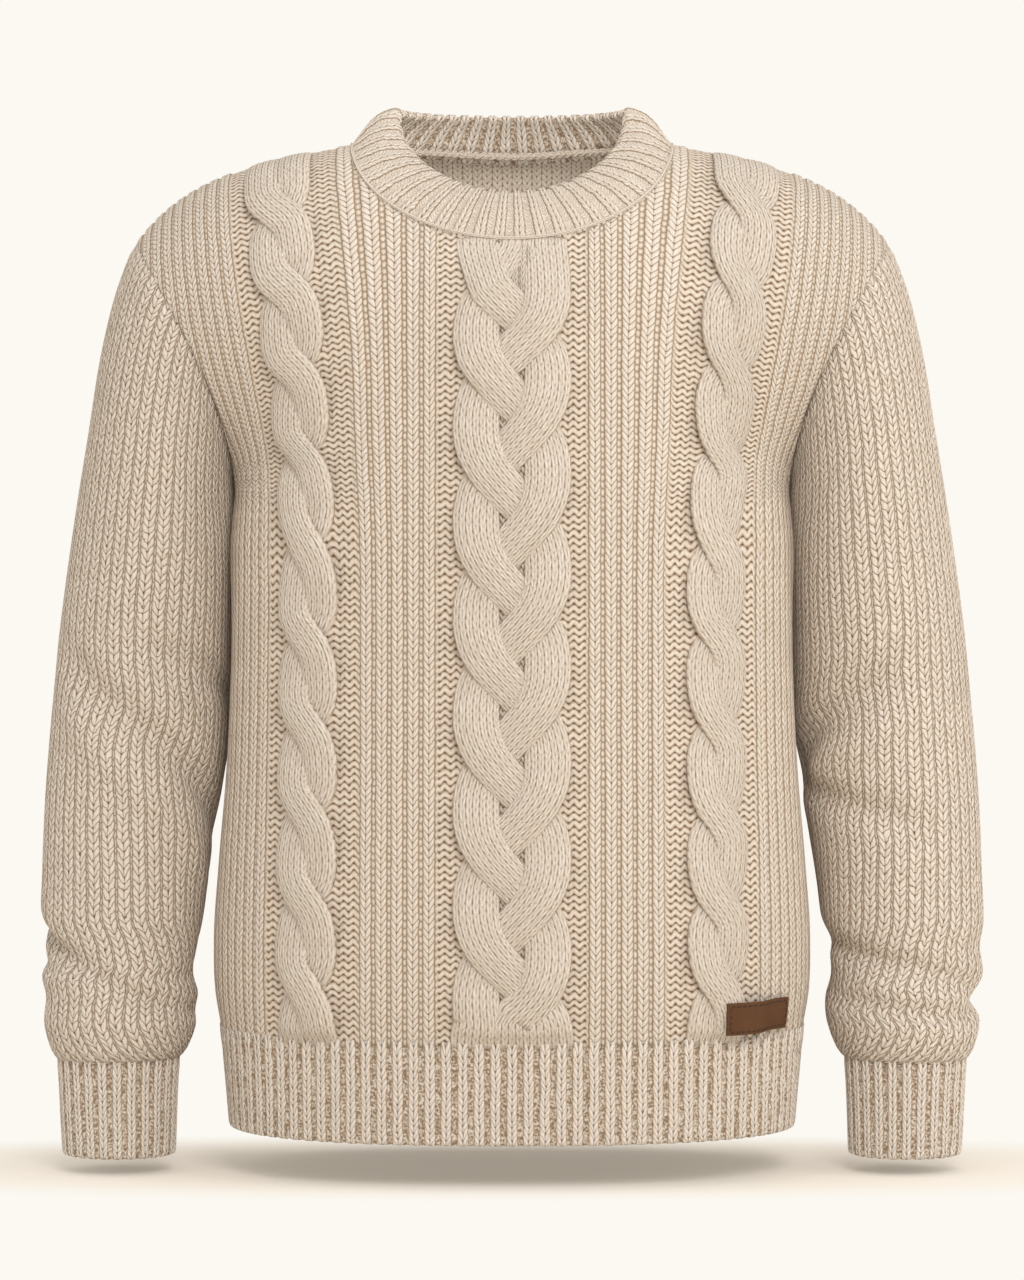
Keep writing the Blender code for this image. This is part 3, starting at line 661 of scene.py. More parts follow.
def ropeDrift(place):
    # the rope cables and the columns beside them spread towards the shoulders
    return 8.0 * smoothStep(370.0, 500.0, place) + 13.0 * smoothStep(500.0, 720.0, place)


def panelRelief(panel, across, place, room):
    # how far the knitted face stands off the plain surface, ribs and beds and tucked seams together
    s, side = np.abs(across), np.where(across < 0.0, -1.0, 1.0)
    length = panel.lengthAt(across, place)
    if panel.isFront:
        follow = smoothStep(58.0, 135.0, length) * (1.0 - 0.6 * smoothStep(185.0, 262.0, length))
        length = length - ropeDrift(place) * follow
        stitch = np.interp(length, frontZones[:, 0], frontZones[:, 1]) * side
        purl = np.interp(length, frontZones[:, 0], frontZones[:, 2])
        purl = np.where((length < 30.0) & (room < 60.0), 0.0, purl)
        bed = np.interp(length, frontZones[:, 0], frontZones[:, 3])
        above = np.minimum(np.where(length < 60.0, room, body["farOff"]), panel.top - place)
        bed = bed * smoothStep(0.0, 42.0, above)
    else:
        stitch = length / panelCloth["backPitch"] * side + 0.5
        purl, bed = np.zeros_like(s), np.zeros_like(s)
    rib = ribProfile(stitch, knits["front_knit" if panel.isFront else "plain_knit"]["half"]) * (1.0 - purl)
    calm = 1.0 - 0.75 * smoothStep(205.0, 245.0, s) * (1.0 - smoothStep(panel.pit, panel.pit + 40.0, place))
    welt = place - panel.placeOf(body["weltLevel"])
    seam = np.minimum(np.minimum(panel.top - place, room), body["panelHalf"] - s)
    openness = smoothStep(-1.0, 3.5, seam) * (0.3 + 0.7 * smoothStep(0.0, 6.0, welt))
    relief = (panelCloth["ribHeight"] * rib - 0.6 - panelCloth["bedDepth"] * bed) * calm
    underarm = smoothStep(225.0, 250.0, s) * np.exp(-((place - panel.pit + 20.0) / 45.0) ** 2)
    return relief * openness - 0.15 * (1.0 - smoothStep(0.0, 3.0, seam)) + 1.8 * underarm, stitch, purl


def rowsAlong(points, across, up, inner):
    # length up each column: the stitches keep their height where the columns are drawn out beside the armholes
    column = np.round(across, 6) + 2.0 * inner
    order = np.lexsort((up, column))
    step = np.linalg.norm(np.diff(points[order], axis=0), axis=1)
    fresh = np.diff(column[order]) != 0.0
    total = np.concatenate(([0.0], np.cumsum(np.where(fresh, 0.0, step))))
    starts = np.concatenate(([True], fresh))
    lengths = np.empty(len(total))
    lengths[order] = total - total[starts][np.cumsum(starts) - 1]
    return lengths


def panelLay(panel):
    start = panel.placeOf(body["weltLevel"]) + panelCloth["overlap"]
    finish = panel.top - panelCloth["overlap"]
    edge = body["panelHalf"] - panelCloth["overlap"]
    neckShare = panelNeckRow(panel) / panelCloth["rows"]

    def lay(across, up, inner):
        column = (across * 2.0 - 1.0) * edge
        # the columns on each side of the neck are drawn to the neck point's own column
        q = np.where(up <= neckShare, start + (panel.neckPlace - start) * up / neckShare,
                     panel.neckPlace + (finish - panel.neckPlace) * (up - neckShare) / (1.0 - neckShare))
        spread, place, room = panel.settle(snapWale(column), q)
        points, out = panel.at(spread, place)
        relief, stitch, purl = panelRelief(panel, spread, place, room)
        inside = -panelCloth["wall"] - 0.5 + 0.5 * ribProfile(stitch + 0.5)
        points = points + out * np.where(inner, inside, relief)[:, None]
        stitch = np.where(inner, panel.lengthAt(spread, place) / panelCloth["insidePitch"] * np.sign(spread), stitch)
        height = place if panel.isFront else rowsAlong(points, across, up, inner)
        return points, stitch, height / body["rowHeight"], {"purl": purl}

    return lay


def waleColumn():
    edge = body["panelHalf"] - panelCloth["overlap"]
    return round((body["neckWale"] / edge + 1.0) / 2.0 * panelCloth["columns"])


def snapWale(column):
    # moves the net's column nearest the neck point's wale exactly onto it
    edge = body["panelHalf"] - panelCloth["overlap"]
    here = (waleColumn() / panelCloth["columns"] * 2.0 - 1.0) * edge
    s = np.abs(column)
    s = np.where(s <= here, s * body["neckWale"] / here,
                 body["neckWale"] + (s - here) * (edge - body["neckWale"]) / (edge - here))
    s = np.where(np.abs(s - body["neckWale"]) < 1e-3, body["neckWale"], s)
    return s * np.where(column < 0, -1.0, 1.0)


def panelNeckRow(panel):
    start = panel.placeOf(body["weltLevel"])
    return round(panelCloth["rows"] * (panel.neckPlace - start) / (panel.top - start))


def panelPiece(name, panel, material):
    columns, rows = panelCloth["columns"], panelCloth["rows"]
    wale, foot = waleColumn() / columns, panelNeckRow(panel) / rows
    bm = flatNet(columns, rows, lambda x, y: 1.0 - wale < x < wale and y > foot)
    piece = makePiece(name, bm, panelLay(panel), material, lining=innerKnit)
    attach(piece, "root")
    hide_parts(name.replace("_panel", ""))
    return piece


frontPiece = panelPiece("front_panel", front, frontKnit)
backPiece = panelPiece("back_panel", back, plainKnit)
print("panels knitted")


# ---- the cables on the front

def swing(turn, bend):
    # a strand's way from side to side: rounder at the sides and steeper where strands cross
    return np.sin(turn) + bend * np.sin(3.0 * turn)


def strandPiece(name, number, strand, settings):
    # a strand is a closed band of knitting on a path up the panel
    def lay(across, up, inner):
        centre, place, depth, width, height = strand(up)
        step = 1e-4
        ahead, behind = strand(np.clip(up + step, 0, 1)), strand(np.clip(up - step, 0, 1))
        dAcross, dPlace = ahead[0] - behind[0], ahead[1] - behind[1]
        length = np.hypot(dAcross, dPlace)
        turn = across * 2.0 * math.pi
        aside, top = np.cos(turn), np.sin(turn)
        reach = np.sign(aside) * np.abs(aside) ** 0.9 * width / 2.0
        offset, p = centre + dPlace / length * reach, place - dAcross / length * reach
        p = np.minimum(p, settings["top"](offset))
        points, out = front.atLength(offset, p)
        lift = np.where(top > 0.0, height * np.abs(top) ** 0.85, -1.4 * np.abs(top) ** 0.8)
        points = points + out * (depth + lift)[:, None]
        fine = strand(np.linspace(0.0, 1.0, 900))
        run = chordKnots(np.column_stack(fine[:3]))
        rows = np.interp(up, np.linspace(0.0, 1.0, 900), run) / settings["rowLength"]
        return points, (reach / width + 0.5) * settings["stitches"], rows, {}

    bm = roundNet(settings["sides"], settings["steps"], wall=False)
    piece = makePiece(f"{name}_strand_{number + 1}", bm, lay, cableKnit, around=True)
    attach(piece, "root")
    return piece


plait = {
    "sides": 26, "steps": 210,
    "reach": 25.3, "bend": 0.06, "width": 31.6, "squeeze": 4.0, "height": 5.6, "over": 3.2, "lift": 1.4,
    "stitches": 7.0, "rowLength": 6.5,
    # levels of the left hand notches, a third of a turn apart
    "notches": (-112.8, -170.1, -234.8, -299.0, -362.9, -427.2, -490.8, -553.9),
    "settle": -81.0,            # above this level the three strands hang side by side
    "foot": -599.5,
}
rope = {
    "sides": 24, "steps": 190,
    "centre": 142.0, "reach": 11.3, "bend": 0.1, "width": 26.4, "squeeze": 2.0, "height": 5.3, "over": 2.9,
    "lift": 1.2, "stitches": 6.0, "rowLength": 6.3,
    # levels of the left hand notches, half a turn apart
    "notches": {
        "right": (-55.2, -107.4, -163.0, -219.3, -280.0, -343.1, -402.6, -460.0, -520.0, -578.0),
        "left": (-49.3, -104.4, -162.4, -222.5, -283.2, -343.1, -404.2, -465.8, -523.7, -579.0),
    },
}


def neckTop(length):
    # the neckline above each length from the centre line
    ends = front.lengthAt(front.endAcross, front.endPlaces)
    return np.interp(np.abs(length), ends, front.endPlaces) - 0.4


plait["top"] = neckTop
rope["top"] = lambda length: np.full(np.shape(length), front.top - 0.6)


def plaitStrand(first):
    notches = front.placeAtLevel(np.array(plait["notches"]), 34.0)
    top, foot = front.placeAtLevel(plait["settle"]), front.placeAtLevel(plait["foot"])
    phases = -5.0 * math.pi / 6.0 + np.arange(len(notches)) * 2.0 * math.pi / 3.0
    places = np.concatenate([[top], notches, [foot]])[::-1]
    phases = np.concatenate([[-math.pi], phases, [phases[-1] + math.pi / 2.0]])[::-1]
    low = front.placeOf(body["weltLevel"]) + 0.5
    high = float(neckTop(np.array([plait["reach"] * math.sin(first - math.pi)]))[0])

    def path(up):
        place = low + (high - low) * up
        phase = np.interp(place, places, phases) + first
        crossing = smoothStep(0.0, 26.0, top + 8.0 - place) * smoothStep(-4.0, 22.0, place - foot)
        flat = smoothStep(48.0, 2.0, high - place)
        flare = 1.0 + 0.1 * smoothStep(30.0, 0.0, place - low)
        foothold = smoothStep(0.0, 14.0, place - low)
        depth = (plait["lift"] - plait["over"] * np.sin(2.0 * phase) * crossing) * (0.35 + 0.65 * foothold)
        depth = depth * (1.0 - flat) - 1.8 * (1.0 - foothold) - 1.2 * flat
        height = plait["height"] * (0.3 + 0.7 * foothold) * (1.0 - 0.65 * flat)
        width = plait["width"] - plait["squeeze"] * np.cos(phase) ** 2 * crossing
        centre = plait["reach"] * swing(phase, plait["bend"])
        return centre * flare, place, depth, width * flare, height

    return path


def ropeStrand(side, first):
    notches = front.placeAtLevel(np.array(rope["notches"][side]), rope["centre"] + 8.0)
    turns = np.arange(len(notches)) * math.pi
    low, high = front.placeOf(body["weltLevel"]) + 0.5, front.top - 0.6
    # above the first crossing the strands hang side by side, and they open out again below the last
    places = np.concatenate([[high, notches[0] + 30.0], notches, [notches[-1] - 38.0, low]])[::-1]
    turns = np.concatenate([[-0.56 * math.pi, -0.5 * math.pi], turns, [turns[-1] + 0.5 * math.pi] * 2])[::-1]
    sign = -1.0 if side == "right" else 1.0

    def path(up):
        place = low + (high - low) * up
        turn = np.interp(place, places, turns) + first
        foothold = smoothStep(0.0, 12.0, place - low)
        shoulder = smoothStep(70.0, 8.0, high - place)
        depth = (rope["lift"] + rope["over"] * np.cos(turn) * (1.0 - shoulder)) * (0.35 + 0.65 * foothold)
        depth = depth - 1.8 * (1.0 - foothold) - 2.6 * shoulder
        height = rope["height"] * (0.3 + 0.7 * foothold) * (1.0 - 0.55 * shoulder)
        centre = sign * (rope["centre"] + ropeDrift(place)) + rope["reach"] * swing(turn, rope["bend"])
        width = rope["width"] - rope["squeeze"] * np.cos(turn) ** 2
        return centre, place, depth, width, height

    return path


plaitPieces = [strandPiece("plait", k, plaitStrand(k * 2.0 * math.pi / 3.0), plait) for k in range(3)]
ropePieces = [strandPiece(f"rope_{side}", k, ropeStrand(side, k * math.pi), rope)
              for side in ("right", "left") for k in range(2)]
print("cables laid")


# ---- sleeves and cuffs

sleeve = {
    "columns": 344,
    "rows": 100,
    "pitch": 10.5,
    "rowHeight": 5.6,
    "foldDepth": 1.65,          # of the creases in the table
    "wall": 3.0,
    "ribHeight": 0.9,
    "density": ((0.0, 0.0), (0.38, 0.50), (0.66, 0.74), (1.0, 1.0)),   # share of the rows, share of the length
    "flat": (0.430, 0.560),
    "area": 0.200,
}


class Tube:
    # the surface of a sleeve or a cuff, by its turn and by how far down it lies
    def __init__(self, rows, side, isSleeve):
        numbers = np.linspace(0.0, len(rows) - 1.0, 40 * (len(rows) - 1) + 1)
        dense = smoothBetween(rows, np.arange(len(rows), dtype=float), numbers)
        turns = np.radians(np.arange(361.0))
        grid = ringPoint(dense[:, None, :], turns[None, :])
        plain = dense.copy()
        plain[:, 7] = 0.0
        middle = (ringPoint(plain, 0.0 * dense[:, 0]) + ringPoint(plain, 0.0 * dense[:, 0] + math.pi)) / 2.0
        inward = unit(middle[:, None, :] - grid)
        if isSleeve:
            depth = np.zeros(grid.shape[:2])
            for fromTurn, fromLevel, toTurn, toLevel, deep, wide in folds[side]:
                offset = (np.arange(361.0) - (fromTurn + toTurn) / 2.0 + 180.0) % 360.0 - 180.0
                share = (offset / (toTurn - fromTurn))[None, :]
                trough = fromLevel + (toLevel - fromLevel) * (share + 0.5)
                fade = np.cos(math.pi * np.clip(np.abs(share) - 0.25, 0.0, 0.5)) ** 2
                depth += sleeve["foldDepth"] * deep * fade * np.exp(-((grid[..., 2] - trough) / wide) ** 2)
            grid = grid + inward * depth[..., None]
        down = np.concatenate([np.zeros((1, 361)), np.cumsum(np.linalg.norm(np.diff(grid, axis=0), axis=2), axis=0)])
        self.down = down
        self.length = float(down[-1].mean())
        self.rowAt = np.interp(np.linspace(0, 1, 600), down[:, 90] / down[-1, 90], np.arange(len(down)))
        along = unit(np.gradient(grid, axis=0))
        step = np.diff(grid, axis=1)
        middleAlong = unit((along[:, 1:] + along[:, :-1]) / 2.0)
        width = np.linalg.norm(np.cross(step, middleAlong), axis=2)
        around = np.zeros(grid.shape[:2])
        around[:, 1:181] = np.cumsum(width[:, :180], axis=1)
        around[:, 181:360] = np.cumsum(width[:, :180:-1], axis=1)[:, ::-1]
        self.around = around
        out = unit(np.cross(np.gradient(grid, axis=0), np.gradient(grid, axis=1)))
        facing = np.sum(out * -inward, axis=2).mean()
        self.grid, self.out = grid, out if facing > 0 else -out
        self.flip = np.array([-1.0 if side == "right" else 1.0, 1.0, 1.0])

    def at(self, across, share):
        row = np.interp(share, np.linspace(0, 1, 600), self.rowAt)
        column = across * 360.0
        point = sampled(self.grid, row, column) * self.flip
        out = unit(sampled(self.out, row, column)) * self.flip
        down = sampled(self.down, row, column)
        total = np.interp(column, np.arange(361.0), self.down[-1])
        return point, out, sampled(self.around, row, column), down, total


def sleeveLay(tube):
    def lay(across, up, inner):
        share = np.interp(up, *np.array(sleeve["density"]).T)
        share = share * (1.0 - 0.1 / tube.length) + 0.05 / tube.length
        points, out, around, down, total = tube.at(across, share)
        stitch = around / sleeve["pitch"] + 0.5
        turn = np.abs(across - 0.5) * 360.0      # degrees from the line beside the body
        seam = np.minimum(down, total - down)
        snug = (1.0 - smoothStep(25.0, 60.0, turn)) * (1.0 - smoothStep(280.0, 400.0, down))
        relief = (sleeve["ribHeight"] * ribProfile(stitch, 0.43, 0.08, 0.3) - 0.45) * (1.0 - 0.85 * snug)
        relief = relief * smoothStep(-1.0, 3.5, seam) - 0.15 * (1.0 - smoothStep(0.0, 3.0, seam)) - 0.35 * snug
        bunched = (1.0 - smoothStep(25.0, 50.0, turn)) * smoothStep(0.0, 8.0, down)
        relief += 2.2 * bunched * np.exp(-(down / 70.0) ** 2)
        relief -= 0.5 * np.exp(-(turn / 2.0) ** 2)
        inside = -sleeve["wall"] - 0.3 + 0.3 * ribProfile(stitch + 0.5, 0.4)
        points = points + out * np.where(inner, inside, relief)[:, None]
        return points, stitch, (total - down) / sleeve["rowHeight"], {}
    return lay


cuff = {
    "columns": 250,
    "rows": 14,
    "ribs": 25,
    "wall": 4.2,
    "ribHeight": 1.9,
    "ribRise": 0.4,             # how much more a rib stands out at its top
    "rowHeight": 4.4,
    "flat": (0.235, 0.068),
}
ribEase, ribGroove = 0.1, 0.35
innerRib = -0.35                # ribs show less on the inner face
foldSlack = 0.15


def crowded(up, knee, reach):
    # the net's rows lie closer together towards the folded edge
    return np.where(up < knee, up / knee * reach, reach + (up - knee) / (1.0 - knee) * (1.0 - reach))


def foldedEdge(share, length, radius):
    # the last stretch of cloth turns through a quarter circle to its folded edge
    straight = length - radius
    run = share * (straight + radius * math.pi / 2.0)
    angle = np.clip((run - straight) / radius, 0.0, math.pi / 2.0)
    return np.minimum(run, straight) + radius * np.sin(angle), radius * (1.0 - np.cos(angle)), angle


def ribTop(rib, down):
    # each rib begins with a rounded top that laps the cloth above
    return 4.6 * np.clip(rib, 0.0, 1.0) ** 0.6 * (1.0 - smoothStep(0.0, 9.0, down))


def foldedRib(points, out, stitch, down, fold, inner, settings, calm=1.0):
    # ribs on both faces of cloth that is folded at its free edge
    sink, angle = fold
    rib = ribProfile(stitch, 0.31, ribEase, ribGroove)
    relief = (settings["ribHeight"] * rib - 0.7) * smoothStep(-7.0, 3.0, down)
    relief = (relief + settings["ribRise"] * rib * (1.0 - smoothStep(1.0, 12.0, down))) * calm
    offset = np.where(inner, sink - settings["wall"], -sink)
    points = points + out * (offset + relief * np.where(inner, innerRib, 1.0) * np.cos(angle))[:, None]
    points[:, 2] += ribTop(rib, down) + innerRib * relief * np.sin(angle)
    return points


def cuffLay(tube):
    def lay(across, up, inner):
        length, share = tube.length, crowded(up, 0.7, 0.88)
        reach, *fold = foldedEdge(share, length, cuff["wall"] / 2.0 - foldSlack)
        points, out, _, down, _ = tube.at(across, np.clip(reach / length, 0.0, 1.0))
        stitch = across * cuff["ribs"]
        points = foldedRib(points, out, stitch, down, fold, inner, cuff)
        return points, stitch, (length - share * length) / cuff["rowHeight"], {}
    return lay


for side in ("left", "right"):
    tube = Tube(sleeveRows, side, True)
    piece = makePiece(f"sleeve_{side}_cloth", roundNet(sleeve["columns"], sleeve["rows"]), sleeveLay(tube),
                      plainKnit, around=True, mirrored=True)
    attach(piece, "root")
    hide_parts(f"sleeve_{side}")
    tube = Tube(cuffRows, side, False)
    piece = makePiece(f"cuff_{side}_rib", roundNet(cuff["columns"], cuff["rows"]), cuffLay(tube),
                      weltRib, around=True, stitchCount=cuff["ribs"])
    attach(piece, "root")
    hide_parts(f"cuff_{side}")
print("sleeves and cuffs knitted")


# ---- the welt at the hem

hem = {
    "columns": 480,
    "rows": 14,
    "pitch": 10.95,
    "wall": 4.2,
    "ribHeight": 1.8,
    "ribRise": 0.8,
    "rowHeight": 4.6,
    "flat": (0.520, 0.068),
}


def hemLay(panel):
    low, high = panel.placeOf(body["hemLevel"]), panel.placeOf(body["weltLevel"]) - panelCloth["overlap"]
    edge = body["panelHalf"] - panelCloth["overlap"]

    def lay(across, up, inner):
        length, share = high - low, crowded(up, 0.7, 0.88)
        reach, *fold = foldedEdge(share, length, hem["wall"] / 2.0 - foldSlack)
        s = (across * 2.0 - 1.0) * edge
        points, out = panel.at(s, high - reach)
        stitch = panel.lengthAt(s, high - reach) / hem["pitch"] * np.where(s < 0.0, -1.0, 1.0) + 0.5
        points = foldedRib(points, out, stitch, reach, fold, inner, hem, smoothStep(0.0, 5.0, edge - np.abs(s)))
        return points, stitch, (length - share * length) / hem["rowHeight"], {}
    return lay


for name, panel in (("front", front), ("back", back)):
    piece = makePiece(f"hem_{name}_rib", flatNet(hem["columns"], hem["rows"]), hemLay(panel), weltRib)
    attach(piece, "root")
    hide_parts(f"hem_{name}")
print("hem welt knitted")


# ---- neckband, its linking ridge, and the chain inside the back of the neck

neck = {
    "columns": 620,
    "rows": 18,
    "ribs": 50,
    "wall": 6.0,
    "ribHeight": 1.7,
    "topHalfWidth": 80.5,
    "topSide": (6.0, 27.0),
    "topFront": (-86.0, -42.0),
    "topBack": (72.0, 30.0),
    "start": -0.03,
    "crown": 2.2,
    "flat": (0.640, 0.044),        # one ply of it: the band is knitted twice as deep and folded double
    "chainRadius": 2.4,
    "chainEase": 0.4,
    "chainLift": 6.0,
    "chainPitch": 11.0,
    "plyRadius": 1.6,
    "plyWrap": 1.3,
    "ridgeRadius": 1.1,
    "rowHeight": 4.6,
}


def neckPath():
    # closed path of the neck seam: down the wearer's right of the front, round it, and back along the back
    def half(panel):
        places = panel.sidePlaces[::-1][:-1]
        beside = np.interp(places, panel.sidePlaces, panel.sideAcross)
        across = np.linspace(-panel.cornerSide, panel.cornerSide, 241)
        ends = np.interp(np.abs(across), panel.endAcross, panel.endPlaces)
        s = np.concatenate([-beside, across, beside[::-1]])
        p = np.concatenate([places, ends, places[::-1]])
        return panel.at(s, p)[0]
    loop = np.concatenate([half(front), half(back)[-2:0:-1]])
    loop = np.vstack([loop, loop[:1]])
    return chordKnots(loop), loop


neckRun, neckLoop = neckPath()
neckSteps = 720
smooth = resampled(np.linspace(0, neckRun[-1], neckSteps + 1), neckRun, neckLoop)[:-1]
for _ in range(6):
    smooth = (np.roll(smooth, 1, axis=0) + 2.0 * smooth + np.roll(smooth, -1, axis=0)) / 4.0
neckLoop = np.vstack([smooth, smooth[:1]])


def neckTurn(start):
    reach = np.where(start[:, 1] > 0.0, body["neckBackReach"], body["neckFrontReach"])
    return np.arctan2(-start[:, 1] / reach, -start[:, 0] / body["neckHalfWidth"])


def neckSeam(across):
    start = resampled(across * neckSteps, np.arange(neckSteps + 1.0), neckLoop)
    turn = neckTurn(start)
    inFront = (turn > 0.0)[:, None]
    sweep = np.abs(np.sin(turn))[:, None]
    side = np.array(neck["topSide"])
    end = np.where(inFront, np.array(neck["topFront"]), np.array(neck["topBack"]))
    crest = np.column_stack([-neck["topHalfWidth"] * np.cos(turn), side + (end - side) * sweep])
    rise = crest - start
    roundNeck = np.column_stack([np.sin(turn), -np.cos(turn), 0.0 * turn])
    return start, rise, unit(np.cross(roundNeck, rise))


def bandLay(across, up, inner):
    start, rise, outward = neckSeam(across)
    length = np.linalg.norm(rise, axis=1) * (1.0 - neck["start"])
    upward = unit(rise)
    share = crowded(up, 0.62, 0.84)
    reach, sink, angle = foldedEdge(share, length, neck["wall"] / 2.0 - foldSlack)
    sides = np.clip(1.0 - np.abs(np.sin(neckTurn(start))), 0.0, 1.0)
    crown = (neck["crown"] + 3.0 * sides) * np.sin(math.pi * np.clip(reach / length, 0.0, 1.0) ** (1.0 + 0.4 * sides))
    stitch = across * neck["ribs"]
    rib = ribProfile(stitch, 0.27, ribEase, ribGroove)
    relief = (neck["ribHeight"] * rib - 0.6) * (0.25 + 0.75 * smoothStep(0.0, 6.0, reach))
    offset = np.where(inner, crown - neck["wall"] + sink, crown - sink)
    facing = np.where(inner, -0.6, 1.0) * np.cos(angle)
    height = neck["start"] * np.linalg.norm(rise, axis=1) + reach + relief * np.sin(angle)
    points = start + upward * height[:, None] + outward * (offset + relief * facing)[:, None]
    return points, stitch, share * length / neck["rowHeight"], {}


band = makePiece("neckband_rib", roundNet(neck["columns"], neck["rows"]), bandLay, neckRib,
                 around=True, stitchCount=neck["ribs"], lining=weltRib)
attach(band, "root")
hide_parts("neckband")


def cordPiece(name, path, radius, wrap=0.0, phase=0.0):
    # a round cord along the path, or one ply of a twisted cord where wrap is set
    run = chordKnots(path)

    def lay(across, up, inner):
        def centreAt(share):
            return resampled(share * run[-1], run, path)
        tangent = unit(centreAt(np.clip(up + 0.004, 0, 1)) - centreAt(np.clip(up - 0.004, 0, 1)))
        side = unit(np.cross(tangent, np.array([0.0, 0.0, 1.0])))
        over = np.cross(side, tangent)

        def ringOf(turn):
            return side * np.cos(turn)[:, None] + over * np.sin(turn)[:, None]
        spin = up * run[-1] / neck["chainPitch"] * 2.0 * math.pi + phase
        points = centreAt(up) + ringOf(spin) * wrap + ringOf(across * 2.0 * math.pi) * radius
        return points, across * 2.0, up * run[-1] / 3.0, {}

    piece = makePiece(name, roundNet(8, len(path) - 1, wall=False), lay, cordKnit, around=True, stitchCount=2)
    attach(piece, "root")
    return piece


shares = np.linspace(0.0, 1.0, 361)
seamStart, seamRise, seamOut = neckSeam(shares)
ridgePath = seamStart + seamOut * 0.9 + unit(seamRise) * 0.6
seamRidge = cordPiece("neck_linking_ridge", ridgePath, neck["ridgeRadius"])
tapeStart, tapeRise, tapeOut = neckSeam(shares[seamStart[:, 1] > 2.0])
tapeDepth = neck["wall"] + neck["chainEase"] + neck["chainRadius"]
tapePath = tapeStart + unit(tapeRise) * neck["chainLift"] - tapeOut * tapeDepth
tapePath = resampled(np.linspace(0, len(tapePath) - 1, 420), np.arange(len(tapePath)), tapePath)
tapePieces = [cordPiece(f"neck_chain_ply_{n + 1}", tapePath, neck["plyRadius"], neck["plyWrap"], n * math.pi)
              for n in range(2)]
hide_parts("neck_tape")
print("neck finished")


# ---- leather patch

patch = {
    "width": 55.0, "height": 21.0, "start": 132.0, "level": -599.0,
    "thickness": 1.6, "cornerEase": 1.2, "stitchInset": 2.2, "stitchLength": 2.6, "stitchGap": 1.2,
    "threadHeight": 0.45, "threadWidth": 0.5,
}


def leatherMaterial():
    material, wire, shader = newMaterial("tan_leather")
    grain, cloud = wire.noise(1400.0, 4.0), wire.noise(90.0, 3.0)
    base = wire.blendColour(cloud, (0.060, 0.023, 0.008), (0.110, 0.045, 0.016))
    tone = wire.blendColour(wire.times(grain, 0.5), base, (0.15, 0.070, 0.030))
    height = wire.plus(grain, cloud)
    bump = wire.add("Bump", {"Strength": 0.5, "Distance": 0.0003, "Height": height})["Normal"]
    wire.feed(shader, {"Base Color": tone, "Normal": bump, "Roughness": 0.6, "Specular IOR Level": 0.2})
    return material


def patchRest(s):
    # the leather bridges from the rope's crest down to the ribs
    return 9.4 - 6.2 * smoothStep(152.0, 176.0, s)


def patchPoint(x, y, offset):
    s = patch["start"] + patch["width"] * x + 2.4 * (0.5 - y)
    level = patch["level"] + patch["height"] * (y - 0.5)
    place = np.interp(level, front.levels, front.knots[:body["pitRow"] + 1])
    points, out = front.at(s, place)
    return points + out * (patchRest(s) + offset)[:, None]


def patchLay(across, up, inner):
    border = np.minimum(np.minimum(across, 1 - across) * patch["width"], np.minimum(up, 1 - up) * patch["height"])
    ease = patch["cornerEase"]
    edge = ease - np.sqrt(np.maximum(0.0, ease ** 2 - np.maximum(0.0, ease - border) ** 2))
    press = 0.35 * np.exp(-((border - patch["stitchInset"]) / 0.8) ** 2)
    offset = np.where(inner, 0.0, patch["thickness"] - 0.5 * edge - press)
    return patchPoint(across, up, offset), across * 10.0, up * 4.0, {}


leather = leatherMaterial()
patchPiece = makePiece("leather_patch", flatNet(60, 26), patchLay, leather)
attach(patchPiece, "root")
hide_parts("patch")


def threadMaterial():
    material, wire, shader = newMaterial("dark_thread")
    tone = wire.blendColour(wire.noise(2200.0, 2.0), (0.018, 0.010, 0.007), (0.05, 0.03, 0.02))
    wire.feed(shader, {"Base Color": tone, "Roughness": 0.7})
    return material


def patchStitches():
    inset, pitch = patch["stitchInset"], patch["stitchLength"] + patch["stitchGap"]
    size = np.array([patch["width"], patch["height"]])
    (x0, y0), (x1, y1) = inset / size, 1.0 - inset / size
    line = np.array([(x0, y0), (x1, y0), (x1, y1), (x0, y1), (x0, y0)])
    bm = bmesh.new()
    for start, way in zip(line, np.diff(line, axis=0)):
        length = float(np.linalg.norm(way * size))
        half, count = patch["stitchLength"] / 2.0 / length, max(2, round(length / pitch))
        for k in range(count):
            x, y = (start + way * ((k + 0.5) / count + np.array([[-half], [half]]))).T
            ends = patchPoint(x, y, np.full(2, patch["thickness"]))
            made = bmesh.ops.create_icosphere(bm, subdivisions=1, radius=1.0)["verts"]
            middle, run = ends.mean(axis=0), (ends[1] - ends[0]) / 2.0
            upright = abs(run[2]) >= abs(run).max()
            out = np.array([0.0, -1.0, 0.0]) if upright else np.cross(run, (0.0, 0.0, 1.0))
            out = unit(out) * patch["threadHeight"]
            third = unit(np.cross(run, out)) * patch["threadWidth"]
            for vertex in made:
                vertex.co = (middle + run * vertex.co.x + out * vertex.co.y + third * vertex.co.z) * mm
    bmesh.ops.recalc_face_normals(bm, faces=bm.faces)
    mesh = bpy.data.meshes.new("patch_stitches")
    bm.to_mesh(mesh)
    bm.free()
    mesh.shade_smooth()
    mesh.materials.append(threadMaterial())
    piece = bpy.data.objects.new("patch_stitches", mesh)
    deskCollection.objects.link(piece)
    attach(piece, "root")
    return piece


stitchPiece = patchStitches()
print("patch sewn on")
